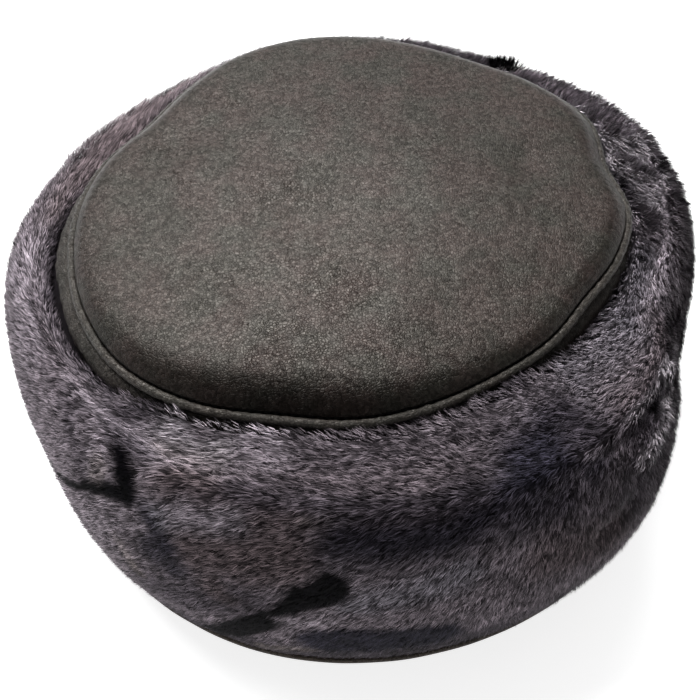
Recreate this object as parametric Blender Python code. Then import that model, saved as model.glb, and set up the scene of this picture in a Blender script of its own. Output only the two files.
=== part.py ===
"""A kubanka: a low round hat with a domed leather crown and a wide band of short fur.

The hat stands on its hem. +Z is up, the front faces -Y, and the origin is under the middle of
the hat at the height of the hem. Lengths are in millimetres until a mesh is made. Every outline
is a radius that changes with the angle round the hat, counted from +X towards +Y.
"""

from collections import namedtuple
from math import cos, exp, floor, hypot, pi, radians, sin, sqrt

import bpy

MM = 0.001

# Sizes that drive the rest
HEAD_GIRTH = 580.0
HEAD_OVAL = 0.03
HEAD_OVAL_ANGLE = 45.0
LEATHER = 2.0
GAP = 0.3
WALL_GAP = 0.5
HEM_HEIGHT = 3.0
HEM_EDGE = 1.0
HEM_INSET = 0.8
BULGE_HEIGHT = 57.0
CREST_HEIGHT = 92.5
CREST_SET_BACK = 14.0
TUCK_HEIGHT = 80.5

# The fur's section from the hem to the crown: its length, and the shares of it below the bulge
# and from there to the crest
SECTION_LENGTH = 112.0
BELLY = 0.48
ROLL = 0.36

SEAM_HEIGHT = 101.2
PIPING_RADIUS = 1.5
PIPING_SIDES = 8
DOME_FOOT = 103.4
DOME_RISE = 11.8
DOME_INSET = 1.0
DOME_SHARES = (0.2, 0.45, 0.65, 0.8, 0.9, 0.955, 0.985, 1.0)
RIM_BEND = 1.4
SEGMENTS = 72

# Outlines seen from above: one row every 15 degrees. seam is the piping's centre line, bulge the
# widest line of the fur and hem its lower edge. lip is how far the fur's top edge stands off the
# seam, and drop how far that edge lies below the crest.
Plan = namedtuple("Plan", "angle seam bulge hem lip drop")
PLAN = (
    Plan(0, 89.5, 116.5, 113.0, 3.4, 1.0),
    Plan(15, 88.5, 124.5, 113.0, 3.4, 1.0),
    Plan(30, 94.5, 128.0, 112.0, 3.4, 1.0),
    Plan(45, 92.5, 125.5, 111.0, 3.4, 1.0),
    Plan(60, 90.0, 122.0, 109.5, 3.4, 1.0),
    Plan(75, 91.5, 122.0, 108.0, 3.4, 1.0),
    Plan(90, 94.0, 122.5, 107.0, 3.4, 1.0),
    Plan(105, 95.0, 122.0, 106.0, 3.4, 1.0),
    Plan(120, 93.0, 118.5, 105.0, 3.4, 1.0),
    Plan(135, 88.0, 117.5, 104.0, 3.8, 1.5),
    Plan(150, 85.0, 119.5, 104.0, 4.5, 2.5),
    Plan(165, 89.5, 120.5, 104.0, 5.5, 4.0),
    Plan(180, 92.5, 122.5, 105.5, 6.0, 5.0),
    Plan(195, 95.0, 120.0, 106.5, 6.0, 5.0),
    Plan(210, 98.0, 119.0, 108.0, 5.2, 4.0),
    Plan(225, 100.0, 123.0, 110.0, 4.2, 2.0),
    Plan(240, 97.5, 125.5, 111.0, 3.4, 0.0),
    Plan(255, 92.5, 125.5, 111.5, 3.4, 0.0),
    Plan(270, 91.0, 124.5, 111.0, 3.4, 0.0),
    Plan(285, 87.5, 125.0, 110.5, 3.6, 0.5),
    Plan(300, 84.5, 127.0, 110.5, 5.0, 3.0),
    Plan(315, 83.5, 126.0, 111.0, 6.0, 5.0),
    Plan(330, 82.5, 119.5, 112.0, 5.5, 4.0),
    Plan(345, 86.5, 113.0, 113.0, 4.0, 2.0),
)

# The leather side wall's outer face, from the hem to its flange under the crown. seam_share
# blends the head's oval, 0, into the seam's outline, 1, and outward is added to that radius.
SideRow = namedtuple("SideRow", "height seam_share outward")
SIDE_SECTION = (
    SideRow(0.0, 0.0, 2.0),
    SideRow(30.0, 0.15, 2.0),
    SideRow(50.0, 0.4, 2.0),
    SideRow(66.0, 0.7, 2.0),
    SideRow(82.0, 1.0, 2.0),
    SideRow(92.0, 1.0, 1.9),
    SideRow(97.0, 1.0, 0.7),
    SideRow(99.6, 1.0, -1.6),
    SideRow(100.0, 1.0, -4.6),
)

# Creases and ridges of the fur band, each along a straight line from one end to the other. The
# ends are an angle round the hat and a share of the fur's section, 0 at the hem and 1 at the
# crown. A positive depth sinks the fur, a negative one raises it.
Fold = namedtuple("Fold", "angle_1 along_1 angle_2 along_2 width depth")
FOLDS = (
    Fold(356.0, 0.53, 338.0, 0.64, 5.0, 2.5),
    Fold(338.0, 0.64, 325.0, 0.72, 5.0, 3.0),
    Fold(325.0, 0.72, 312.0, 0.76, 5.0, 2.5),
    Fold(312.0, 0.76, 299.0, 0.70, 6.0, 1.5),
    Fold(330.0, 0.70, 316.0, 0.64, 3.5, -1.8),
    Fold(329.0, 0.54, 307.0, 0.50, 4.0, 2.5),
    Fold(22.0, 0.99, 8.0, 0.93, 7.0, 3.0),
    Fold(24.0, 0.92, 15.0, 0.74, 4.0, 2.0),
)

# Shallow hollows and swellings of the leather crown
Dent = namedtuple("Dent", "x y reach depth")
DENTS = (
    Dent(-58.0, 32.0, 20.0, 1.4),
    Dent(-20.0, -8.0, 26.0, 1.0),
    Dent(62.0, 12.0, 18.0, 1.2),
    Dent(14.0, -52.0, 22.0, -0.8),
)

# The fur's locks lie in rows up the section, each lock as wide as two segments. They follow a
# line that starts almost level at the hem and turns upright at the top, LAY_STEPS segments on.
LOCK_ROWS = 9
LAY_STEPS = 12
LIP_TAPER = 0.08

# The rings of one row of locks, from their roots to their tips: the share of the row, how far the
# lock and the valley beside it stand off the fur's skin, and how far the tip runs on.
LockRing = namedtuple("LockRing", "share lock valley reach")
LOCK_RINGS = (
    LockRing(0.06, -1.2, -1.2, 0.0),
    LockRing(0.50, 0.4, -0.7, 0.0),
    LockRing(0.88, 1.3, -0.5, 0.08),
)


def outline(column, angle):
    """Smooth radius between the rows of PLAN."""
    step = 360.0 / len(PLAN)
    place = (angle % 360.0) / step
    row = int(floor(place))
    part = place - row
    before, here, after, beyond = (
        getattr(PLAN[(row + k) % len(PLAN)], column) for k in (-1, 0, 1, 2))
    slope_here = (after - before) / 2
    slope_after = (beyond - here) / 2
    return ((2 * part ** 3 - 3 * part ** 2 + 1) * here
            + (part ** 3 - 2 * part ** 2 + part) * slope_here
            + (3 * part ** 2 - 2 * part ** 3) * after
            + (part ** 3 - part ** 2) * slope_after)


def head(angle):
    """Radius of the hollow at the hem, a slight oval of the head's girth."""
    mean = HEAD_GIRTH / (2 * pi)
    return mean * (1 + HEAD_OVAL * cos(radians(2 * (angle - HEAD_OVAL_ANGLE))))


def place(angle, radius, height):
    turn = radians(angle)
    return (radius * cos(turn), radius * sin(turn), height)


def side_face(angle, outward=0.0):
    """Points (radius, height) of the side wall's outer face, moved outward by a distance."""
    points = []
    for row in SIDE_SECTION:
        base = head(angle) * (1 - row.seam_share) + outline("seam", angle) * row.seam_share
        points.append((base + row.outward, row.height))
    return offset(points, outward)


def offset(points, distance):
    """Moves an open line of (radius, height) points to its right-hand side by a distance."""
    moved = []
    for k, (radius, height) in enumerate(points):
        before = points[max(k - 1, 0)]
        after = points[min(k + 1, len(points) - 1)]
        along_r = after[0] - before[0]
        along_h = after[1] - before[1]
        length = hypot(along_r, along_h)
        moved.append((radius + distance * along_h / length, height - distance * along_r / length))
    return moved


def side_radius(angle, height):
    """Radius of the side wall's outer face at a height."""
    points = side_face(angle)
    for (r_1, h_1), (r_2, h_2) in zip(points, points[1:]):
        if h_1 <= height <= h_2:
            return r_1 + (r_2 - r_1) * (height - h_1) / (h_2 - h_1)
    return points[-1][0]


def fold_depth(angle, along):
    """How far the folds sink the fur at a place on the band."""
    around = radians(1.0) * outline("bulge", angle)
    total = 0.0
    for fold in FOLDS:
        run_1 = (fold.angle_2 - fold.angle_1) * around
        run_2 = (fold.along_2 - fold.along_1) * SECTION_LENGTH
        here_1 = ((angle - fold.angle_1 + 180.0) % 360.0 - 180.0) * around
        here_2 = (along - fold.along_1) * SECTION_LENGTH
        length = hypot(run_1, run_2)
        passed = (here_1 * run_1 + here_2 * run_2) / length
        past_end = max(0.0, -passed, passed - length)
        aside = (here_1 * run_2 - here_2 * run_1) / length
        total += fold.depth * exp(-(aside / fold.width) ** 2 - (past_end / fold.width) ** 2)
    return total


def fur_skin(angle, along):
    """(radius, height) on the fur's outside, along 0 at the hem and 1 at the lip by the crown."""
    hem = outline("hem", angle)
    bulge = outline("bulge", angle)
    crest = bulge - CREST_SET_BACK
    lip = outline("seam", angle) + outline("lip", angle)
    foot = HEM_HEIGHT + GAP
    if along < BELLY:
        turn = along / BELLY
        height = foot + (BULGE_HEIGHT - foot) * turn
        radius = hem + (bulge - hem) * sin(turn * pi / 2)
    elif along < BELLY + ROLL:
        turn = (along - BELLY) / ROLL * pi / 2
        height = BULGE_HEIGHT + (CREST_HEIGHT - BULGE_HEIGHT) * sin(turn)
        radius = crest + (bulge - crest) * cos(turn)
    else:
        turn = (along - BELLY - ROLL) / (1 - BELLY - ROLL) * pi / 2
        height = CREST_HEIGHT - outline("drop", angle) * (1 - cos(turn))
        radius = crest - (crest - lip) * sin(turn)
    return radius, height


def fur_point(angle, along, relief):
    """A point on the fur's outside, raised by a relief along the section's outward normal."""
    small = 0.004
    r_1, h_1 = fur_skin(angle, max(along - small, 0.0))
    r_2, h_2 = fur_skin(angle, min(along + small, 1.0))
    radius, height = fur_skin(angle, along)
    length = hypot(r_2 - r_1, h_2 - h_1)
    raised = relief * min(1.0, (1.0 - along) / LIP_TAPER) - fold_depth(angle, along)
    return place(angle, radius + raised * (h_2 - h_1) / length,
                 height - raised * (r_2 - r_1) / length)


def lay_angle(along):
    """Degrees that a lock has turned round the hat by this place on the section."""
    return LAY_STEPS * 360.0 / SEGMENTS * (1 - (1 - along) ** 2)


def ring(section_point):
    """One closed ring of points from a function of the angle."""
    return [section_point(360.0 * k / SEGMENTS) for k in range(SEGMENTS)]


def body(name, rings, finish, poles=(), closing_shift=0):
    """Joins rings into a closed solid, round a section or between two pole points.

    The rings run up the inside, over the top and down the outside.
    """
    points = [point for one in rings for point in one]
    faces = []
    count = SEGMENTS

    def join(first, second, shift=0):
        for k in range(count):
            after = (k + 1) % count
            faces.append((first * count + k,
                          second * count + (k + shift) % count,
                          second * count + (after + shift) % count,
                          first * count + after))

    for k in range(len(rings) - 1):
        join(k, k + 1)
    if poles:
        first_pole = len(points)
        points.extend(poles)
        last = (len(rings) - 1) * count
        for k in range(count):
            after = (k + 1) % count
            faces.append((first_pole, k, after))
            faces.append((first_pole + 1, last + after, last + k))
    else:
        join(len(rings) - 1, 0, closing_shift)

    mesh = bpy.data.meshes.new(name)
    mesh.from_pydata([tuple(value * MM for value in point) for point in points], [], faces)
    mesh.validate()
    mesh.shade_smooth()
    mesh.set_sharp_from_angle(angle=radians(40))
    mesh.materials.append(finish)
    solid = bpy.data.objects.new(name, mesh)
    bpy.context.scene.collection.objects.link(solid)
    return solid


def material(name, colour, roughness):
    made = bpy.data.materials.new(name)
    made.use_nodes = True
    shader = made.node_tree.nodes["Principled BSDF"]
    shader.inputs["Base Color"].default_value = (*colour, 1.0)
    shader.inputs["Roughness"].default_value = roughness
    shader.inputs["Metallic"].default_value = 0.0
    made.diffuse_color = (*colour, 1.0)
    return made


def dome_height(x, y, share):
    """Height of the crown's outer face, share 0 in the middle and 1 at its widest line."""
    height = DOME_FOOT + DOME_RISE * sqrt(max(0.0, 1 - share ** 2))
    for dent in DENTS:
        away = hypot(x - dent.x, y - dent.y) / dent.reach
        height -= dent.depth * exp(-away ** 2) * (1 - share ** 4)
    return height


def make_crown_top(leather):
    """A leather dome whose edge swells over the piping and tucks in to lie on the flange."""
    rim_inset = PIPING_RADIUS + 1.5 * GAP
    foot = SIDE_SECTION[-1].height + 2 * GAP

    def on_dome(angle, share, depth=0.0):
        radius = (outline("seam", angle) - DOME_INSET) * share
        x, y, _ = place(angle, radius, 0.0)
        height = dome_height(x, y, share)
        small = 0.01
        lower = dome_height(x, y, min(share + small, 1.0))
        upper = dome_height(x, y, share - small)
        run = (min(share + small, 1.0) - share + small) * outline("seam", angle)
        length = hypot(run, upper - lower)
        return place(angle, radius - depth * (upper - lower) / length, height - depth * run / length)

    def tucked(inset, height):
        return ring(lambda angle: place(angle, outline("seam", angle) - inset, height))

    outside = [ring(lambda angle, s=share: on_dome(angle, s)) for share in DOME_SHARES]
    inside = [ring(lambda angle, s=share: on_dome(angle, s, LEATHER))
              for share in DOME_SHARES[:-2]]
    rim = [
        tucked(rim_inset, DOME_FOOT - RIM_BEND),
        tucked(rim_inset, foot),
        tucked(rim_inset + LEATHER, foot),
        tucked(rim_inset + LEATHER, DOME_FOOT - RIM_BEND / 2),
    ]
    top = (0.0, 0.0, dome_height(0.0, 0.0, 0.0))
    under = (0.0, 0.0, top[2] - LEATHER)
    rings = outside + rim + inside[::-1]
    return body("crown_top", rings, leather, poles=(top, under))


def make_crown_piping(leather):
    """A rolled cord of leather that follows the seam."""
    rings = []
    for side in range(PIPING_SIDES):
        turn = 2 * pi * side / PIPING_SIDES
        rings.append(ring(lambda angle, t=turn: place(
            angle, outline("seam", angle) - PIPING_RADIUS * cos(t),
            SEAM_HEIGHT + PIPING_RADIUS * sin(t))))
    return body("crown_piping", rings, leather)


def make_crown_side(leather):
    """The leather wall round the head, with a flange turned in under the crown."""
    rows = len(SIDE_SECTION)
    outside = [ring(lambda angle, k=row: place(angle, *side_face(angle)[k]))
               for row in range(rows)]
    inside = [ring(lambda angle, k=row: place(angle, *side_face(angle, -LEATHER)[k]))
              for row in range(1, rows)]
    hem_ring = ring(lambda angle: place(angle, head(angle), 0.0))
    return body("crown_side", [hem_ring] + inside + outside[::-1], leather)


def make_fur_band(fur):
    """A closed thick ring: a plain wall by the leather, and locks of fur on the outside."""
    def lock_ring(row, step):
        points = []
        for k in range(SEGMENTS):
            on_lock = (k + row) % 2 == 0
            reach = step.reach if on_lock else -step.reach
            along = (row + step.share + reach) / LOCK_ROWS
            angle = 360.0 * k / SEGMENTS - lay_angle(along)
            points.append(fur_point(angle, along, step.lock if on_lock else step.valley))
        return points

    rings = [lock_ring(row, step) for row in range(LOCK_ROWS) for step in LOCK_RINGS]
    last_turn = lay_angle(1.0)

    def wall_ring(height):
        return ring(lambda angle: place(
            angle - last_turn, side_radius(angle - last_turn, height) + WALL_GAP, height))

    foot = HEM_HEIGHT + GAP
    heights = [row.height for row in SIDE_SECTION if foot < row.height < TUCK_HEIGHT]
    wall = [wall_ring(height) for height in [foot] + heights + [TUCK_HEIGHT]]
    return body("fur_band", wall + rings[::-1], fur, closing_shift=LAY_STEPS)


def make_hem_binding(leather):
    """The leather edge that the hat stands on, a flat-footed ring under the fur."""
    section = (
        ("inner", GAP, 0.0),
        ("hem", -HEM_EDGE, 0.0),
        ("hem", 0.0, HEM_EDGE),
        ("hem", 0.0, HEM_HEIGHT - HEM_EDGE),
        ("hem", -HEM_EDGE, HEM_HEIGHT),
        ("inner", GAP, HEM_HEIGHT),
    )

    def radius(angle, line, height):
        if line == "hem":
            return outline("hem", angle) - HEM_INSET
        return side_radius(angle, height)

    rings = [ring(lambda angle, row=row: place(
        angle, radius(angle, row[0], row[2]) + row[1], row[2])) for row in section]
    return body("hem_binding", rings[::-1], leather)


def centre_on_origin(solids):
    """Moves the solids together until the middle of their box is over the origin."""
    corners = [vertex.co for solid in solids for vertex in solid.data.vertices]
    middle_x = (min(co.x for co in corners) + max(co.x for co in corners)) / 2
    middle_y = (min(co.y for co in corners) + max(co.y for co in corners)) / 2
    for solid in solids:
        for vertex in solid.data.vertices:
            vertex.co.x -= middle_x
            vertex.co.y -= middle_y


for old in list(bpy.data.objects):
    bpy.data.objects.remove(old)

crown_leather = material("crown_leather", (0.075, 0.070, 0.062), 0.42)
piping_leather = material("piping_leather", (0.030, 0.028, 0.026), 0.38)
side_leather = material("side_leather", (0.050, 0.044, 0.038), 0.45)
hem_leather = material("hem_leather", (0.045, 0.030, 0.022), 0.55)
grey_fur = material("grey_fur", (0.075, 0.062, 0.075), 0.9)

centre_on_origin([
    make_crown_top(crown_leather),
    make_crown_piping(piping_leather),
    make_crown_side(side_leather),
    make_fur_band(grey_fur),
    make_hem_binding(hem_leather),
])
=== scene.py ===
# %% [markdown]
# # A kubanka in leather and fur
# A kubanka is a low round hat. This one has a leather crown that is drawn over a flat dome, a
# leather cord in the seam round it, and a wide roll of short fur that hides the leather wall
# below. The plain solids of the hat come first, because every piece here has to lie on them.

# %% Load the plain hat
from collections import namedtuple
from math import pi, radians

import bpy
import numpy as np
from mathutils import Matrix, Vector


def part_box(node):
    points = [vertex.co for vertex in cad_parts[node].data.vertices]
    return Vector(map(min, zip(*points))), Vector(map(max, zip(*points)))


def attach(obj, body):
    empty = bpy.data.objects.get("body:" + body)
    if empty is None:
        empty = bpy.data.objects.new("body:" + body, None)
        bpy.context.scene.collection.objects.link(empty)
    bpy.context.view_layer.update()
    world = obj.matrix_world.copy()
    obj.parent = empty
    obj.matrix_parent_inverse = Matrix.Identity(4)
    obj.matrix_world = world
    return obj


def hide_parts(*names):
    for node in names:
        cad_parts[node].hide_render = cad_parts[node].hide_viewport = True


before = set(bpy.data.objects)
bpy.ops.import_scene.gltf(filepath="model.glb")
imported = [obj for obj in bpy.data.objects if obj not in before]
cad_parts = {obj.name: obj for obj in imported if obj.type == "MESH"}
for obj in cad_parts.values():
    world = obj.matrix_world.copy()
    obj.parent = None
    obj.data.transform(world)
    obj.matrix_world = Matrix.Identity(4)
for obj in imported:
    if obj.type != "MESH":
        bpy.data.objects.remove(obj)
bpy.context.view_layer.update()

print("nodes:", sorted(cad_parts))

# %% [markdown]
# ## The hat's own measures
# A hat is drawn as outlines seen from above and a section through its wall. Both could be
# curves drawn by hand, but a radius that changes with the angle is easier to reuse: the same
# few functions then place the crown, the cord, the wall and each hair. Lengths are in
# millimetres until a mesh is made, and angles go round from +X towards +Y, with the front at 270.

# %% Outlines seen from above
MM = 0.001
PLAIN_LIP = 3.4
PLAIN_DROP = 1.0

# Seam, bulge and hem are radii. The lip is the gap from the seam to the fur's inner edge, and the
# drop is how far that edge lies below the crest of the roll.
Plan = namedtuple("Plan", "angle seam bulge hem lip drop", defaults=(PLAIN_LIP, PLAIN_DROP))
PLAN = (
    Plan(0, 89.5, 117.4, 113.0),
    Plan(15, 87.4, 124.5, 113.0),
    Plan(30, 93.8, 128.0, 112.0),
    Plan(45, 92.5, 125.5, 111.0),
    Plan(60, 90.0, 122.0, 109.5),
    Plan(75, 91.5, 122.0, 108.0),
    Plan(90, 94.0, 122.5, 107.0),
    Plan(105, 95.0, 122.0, 106.0),
    Plan(120, 93.0, 118.5, 105.0),
    Plan(135, 88.0, 117.5, 104.0, 3.8, 1.5),
    Plan(150, 85.0, 119.5, 104.0, 4.5, 2.5),
    Plan(165, 89.5, 120.5, 104.0, 7.0, 4.5),
    Plan(180, 92.5, 122.5, 105.5, 9.2, 6.0),
    Plan(195, 95.0, 120.0, 106.5, 8.6, 6.0),
    Plan(210, 98.0, 119.0, 108.0, 6.4, 4.5),
    Plan(225, 100.0, 123.0, 110.0, 3.8, 2.0),
    Plan(240, 97.5, 125.5, 111.0, 2.6, 0.0),
    Plan(255, 92.5, 125.5, 111.5, 2.5, 0.0),
    Plan(270, 91.0, 124.5, 111.0, 2.8, 0.0),
    Plan(285, 87.5, 125.0, 110.5, 3.6, 0.5),
    Plan(300, 84.5, 127.0, 110.5, PLAIN_LIP, 0.0),
    Plan(315, 83.5, 126.0, 111.0, 3.7, 1.4),
    Plan(330, 82.5, 120.0, 112.0, 4.6, 2.6),
    Plan(345, 86.5, 112.2, 113.0, 4.0, 2.0),
)


def outline(column, angle):
    """A column of PLAN, smooth between its evenly spaced rows, for an array of angles."""
    values = np.array([getattr(row, column) for row in PLAN])
    steps = np.mod(angle, 360.0) / (360.0 / len(PLAN))
    row = np.floor(steps).astype(int)
    part = steps - row
    before, here, after, beyond = (values[(row + k) % len(PLAN)] for k in (-1, 0, 1, 2))
    return ((2 * part ** 3 - 3 * part ** 2 + 1) * here
            + (part ** 3 - 2 * part ** 2 + part) * (after - before) / 2
            + (3 * part ** 2 - 2 * part ** 3) * after
            + (part ** 3 - part ** 2) * (beyond - here) / 2)


def apart(angle, other):
    """Degrees from other round to angle, between -180 and 180."""
    return np.mod(angle - other + 180.0, 360.0) - 180.0


HEAD_GIRTH = 580.0
HEAD_OVAL = 0.03
HEAD_OVAL_ANGLE = 45.0


def head(angle):
    """Radius of the hollow for the head at the hem, a slight oval."""
    oval = HEAD_OVAL * np.cos(np.radians(2 * (angle - HEAD_OVAL_ANGLE)))
    return HEAD_GIRTH / (2 * pi) * (1 + oval)


# %% The middle of the hat
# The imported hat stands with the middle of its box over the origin. The cord's box tells how far
# that is from the centre that the outlines are counted from.
PIPING_RADIUS = 1.5
SEGMENT = 5.0


def piping_middle():
    """The middle of the cord's box, as the outlines have it."""
    angle = np.arange(0.0, 360.0, SEGMENT)
    radius = outline("seam", angle) + PIPING_RADIUS
    x = radius * np.cos(np.radians(angle))
    y = radius * np.sin(np.radians(angle))
    return np.array([x.min() + x.max(), y.min() + y.max(), 0.0]) / 2


low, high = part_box("crown_piping")
packed_middle = np.array([low.x + high.x, low.y + high.y, 0.0]) / 2 / MM
SHIFT = packed_middle - piping_middle()
print("outlines are moved by", SHIFT.round(3), "mm")

# %% [markdown]
# ## Helpers for every piece
# Each piece of this hat goes once round the head, so each can be a stack of rings joined by
# quads. Rings run up the outside and down the inside, which makes every face point outwards.
# Soft waves stand in for the unevenness that hands and use leave in leather and fur: a dozen
# cosines in mixed directions never line up, so the eye finds no pattern.

# %% Rings to a mesh
def place(angle, radius, height):
    """Points in millimetres from arrays of an angle, a radius and a height."""
    turn = np.radians(angle)
    return np.stack(np.broadcast_arrays(radius * np.cos(turn), radius * np.sin(turn), height), -1)


def add_object(name, data):
    """An object for a mesh, a lamp or a camera, put in the scene."""
    made = bpy.data.objects.new(name, data)
    bpy.context.scene.collection.objects.link(made)
    return made


def triangle_count(mesh):
    return sum(len(face.vertices) - 2 for face in mesh.polygons)


def ring_mesh(name, rings, poles=(), join_ends=True, open_side=False):
    """A mesh from rings of points, optionally with a pole before the first and after the last."""
    rings = np.asarray(rings, float)
    rows, count = rings.shape[:2]
    points = ((rings.reshape(-1, 3) + SHIFT) * MM).tolist()
    here = np.arange(count - 1 if open_side else count)
    after = (here + 1) % count
    pairs = [(k, k + 1) for k in range(rows - 1)]
    if join_ends and not poles:
        pairs.append((rows - 1, 0))
    faces = []
    for first, second in pairs:
        faces += np.stack([first * count + here, first * count + after,
                           second * count + after, second * count + here], 1).tolist()
    for pole, row in zip(poles, (0, rows - 1)):
        tip = len(points)
        points.append(((np.array(pole) + SHIFT) * MM).tolist())
        fan = np.stack([np.full(count, tip), row * count + here, row * count + after], 1)
        faces += (fan[:, ::-1] if row == 0 else fan).tolist()
    mesh = bpy.data.meshes.new(name)
    mesh.from_pydata(points, [], faces)
    mesh.validate()
    mesh.shade_smooth()
    print(name, len(mesh.vertices), "points,", triangle_count(mesh), "triangles")
    return add_object(name, mesh)


def paint(mesh, name, values, kind="FLOAT"):
    """Stores one value, vector or colour for each point of a mesh."""
    field = {"FLOAT": "value", "FLOAT_VECTOR": "vector", "FLOAT_COLOR": "color"}[kind]
    made = mesh.attributes.new(name, kind, "POINT")
    made.data.foreach_set(field, np.ascontiguousarray(values, dtype=np.float32).ravel())


# %% Soft waves
def waves(points, length, seed, count=12):
    """Smooth unevenness from -1 to 1 or so, with bumps about as long as length."""
    dice = np.random.default_rng(seed)
    points = np.asarray(points, float)
    ways = dice.normal(size=(count, points.shape[-1]))
    ways /= np.linalg.norm(ways, axis=1, keepdims=True)
    pitch = 2 * pi / length * dice.uniform(0.6, 1.4, size=(count, 1))
    phase = dice.uniform(0, 2 * pi, size=count)
    return np.cos(points @ (ways * pitch).T + phase).sum(-1) / np.sqrt(count * 2)


def smooth_step(value, start, end):
    """0 before start, 1 after end, and a soft rise between them."""
    part = np.clip((value - start) / (end - start), 0, 1)
    return part * part * (3 - 2 * part)


def bell(distance):
    """1 at no distance, about a third at 1, and nothing beyond 3."""
    return np.exp(-distance ** 2)


# %% [markdown]
# ## Building materials from nodes
# Leather and fur are both made of nodes that read the place on the hat. Adding each node by
# hand takes many lines, so one short function makes a node, sets its choices and then fills its
# open sockets in order. A socket is given a number, a colour, or another node's output.

# %% A node in one line
def node(tree, kind, *values, **choices):
    """Adds a node and returns its first open output."""
    made = tree.nodes.new(kind)
    for name, value in choices.items():
        setattr(made, name, value)
    sockets = [socket for socket in made.inputs if socket.enabled]
    for socket, value in zip(sockets, values):
        if isinstance(value, bpy.types.NodeSocket):
            tree.links.new(value, socket)
        elif value is not None:
            socket.default_value = value
    return next((socket for socket in made.outputs if socket.enabled), made)


def maths(tree, operation, first, second=0.0, third=0.0):
    return node(tree, "ShaderNodeMath", first, second, third, operation=operation)


def mix_colour(tree, share, first, second, blend="MIX"):
    return node(tree, "ShaderNodeMix", share, first, second, data_type="RGBA", blend_type=blend)


def new_finish(name):
    """An empty material with its tree and its Principled shader."""
    finish = bpy.data.materials.new(name)
    finish.use_nodes = True
    return finish, finish.node_tree, finish.node_tree.nodes["Principled BSDF"]


def plain(name, colour, roughness):
    """A finish of one colour."""
    finish, tree, shader = new_finish(name)
    shader.inputs["Base Color"].default_value = (*colour, 1)
    shader.inputs["Roughness"].default_value = roughness
    return finish, tree, shader


def attribute(tree, name, output="Fac"):
    """Reads a value or colour that is painted on the piece."""
    made = tree.nodes.new("ShaderNodeAttribute")
    made.attribute_name = name
    return made.outputs[output]


# %% [markdown]
# ## Leather
# This leather is sheep nappa: a thin skin with a grain of rounded pebbles about a millimetre
# wide, fine wrinkles that run over it in loose bundles, and a dye that sits unevenly, redder in
# one place and greener in the next. A photo could be wrapped over it, but nodes on Object
# coordinates stay sharp from any distance and have no edges. The pebbles are cells of a Voronoi
# texture. The wrinkles are the lines where a bent noise passes its middle value. Where the
# leather has been worn, the same grain gets deeper.

# %% The leather finish
def noise(tree, where, width, detail=2.0):
    """A noise with features about as wide as width, in millimetres."""
    made = tree.nodes.new("ShaderNodeTexNoise")
    tree.links.new(where, made.inputs["Vector"])
    made.inputs["Scale"].default_value = 1 / (width * MM)
    made.inputs["Detail"].default_value = detail
    return made.outputs["Fac"], made.outputs["Color"]


def pushed(tree, where, width, amount):
    """Coordinates that a noise has bent by up to amount, in millimetres."""
    centred = node(tree, "ShaderNodeVectorMath", noise(tree, where, width)[1], (0.5, 0.5, 0.5),
                   operation="SUBTRACT")
    scaled = tree.nodes.new("ShaderNodeVectorMath")
    scaled.operation = "SCALE"
    scaled.inputs["Scale"].default_value = amount * MM
    tree.links.new(centred, scaled.inputs[0])
    return node(tree, "ShaderNodeVectorMath", where, scaled.outputs[0], operation="ADD")


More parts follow.
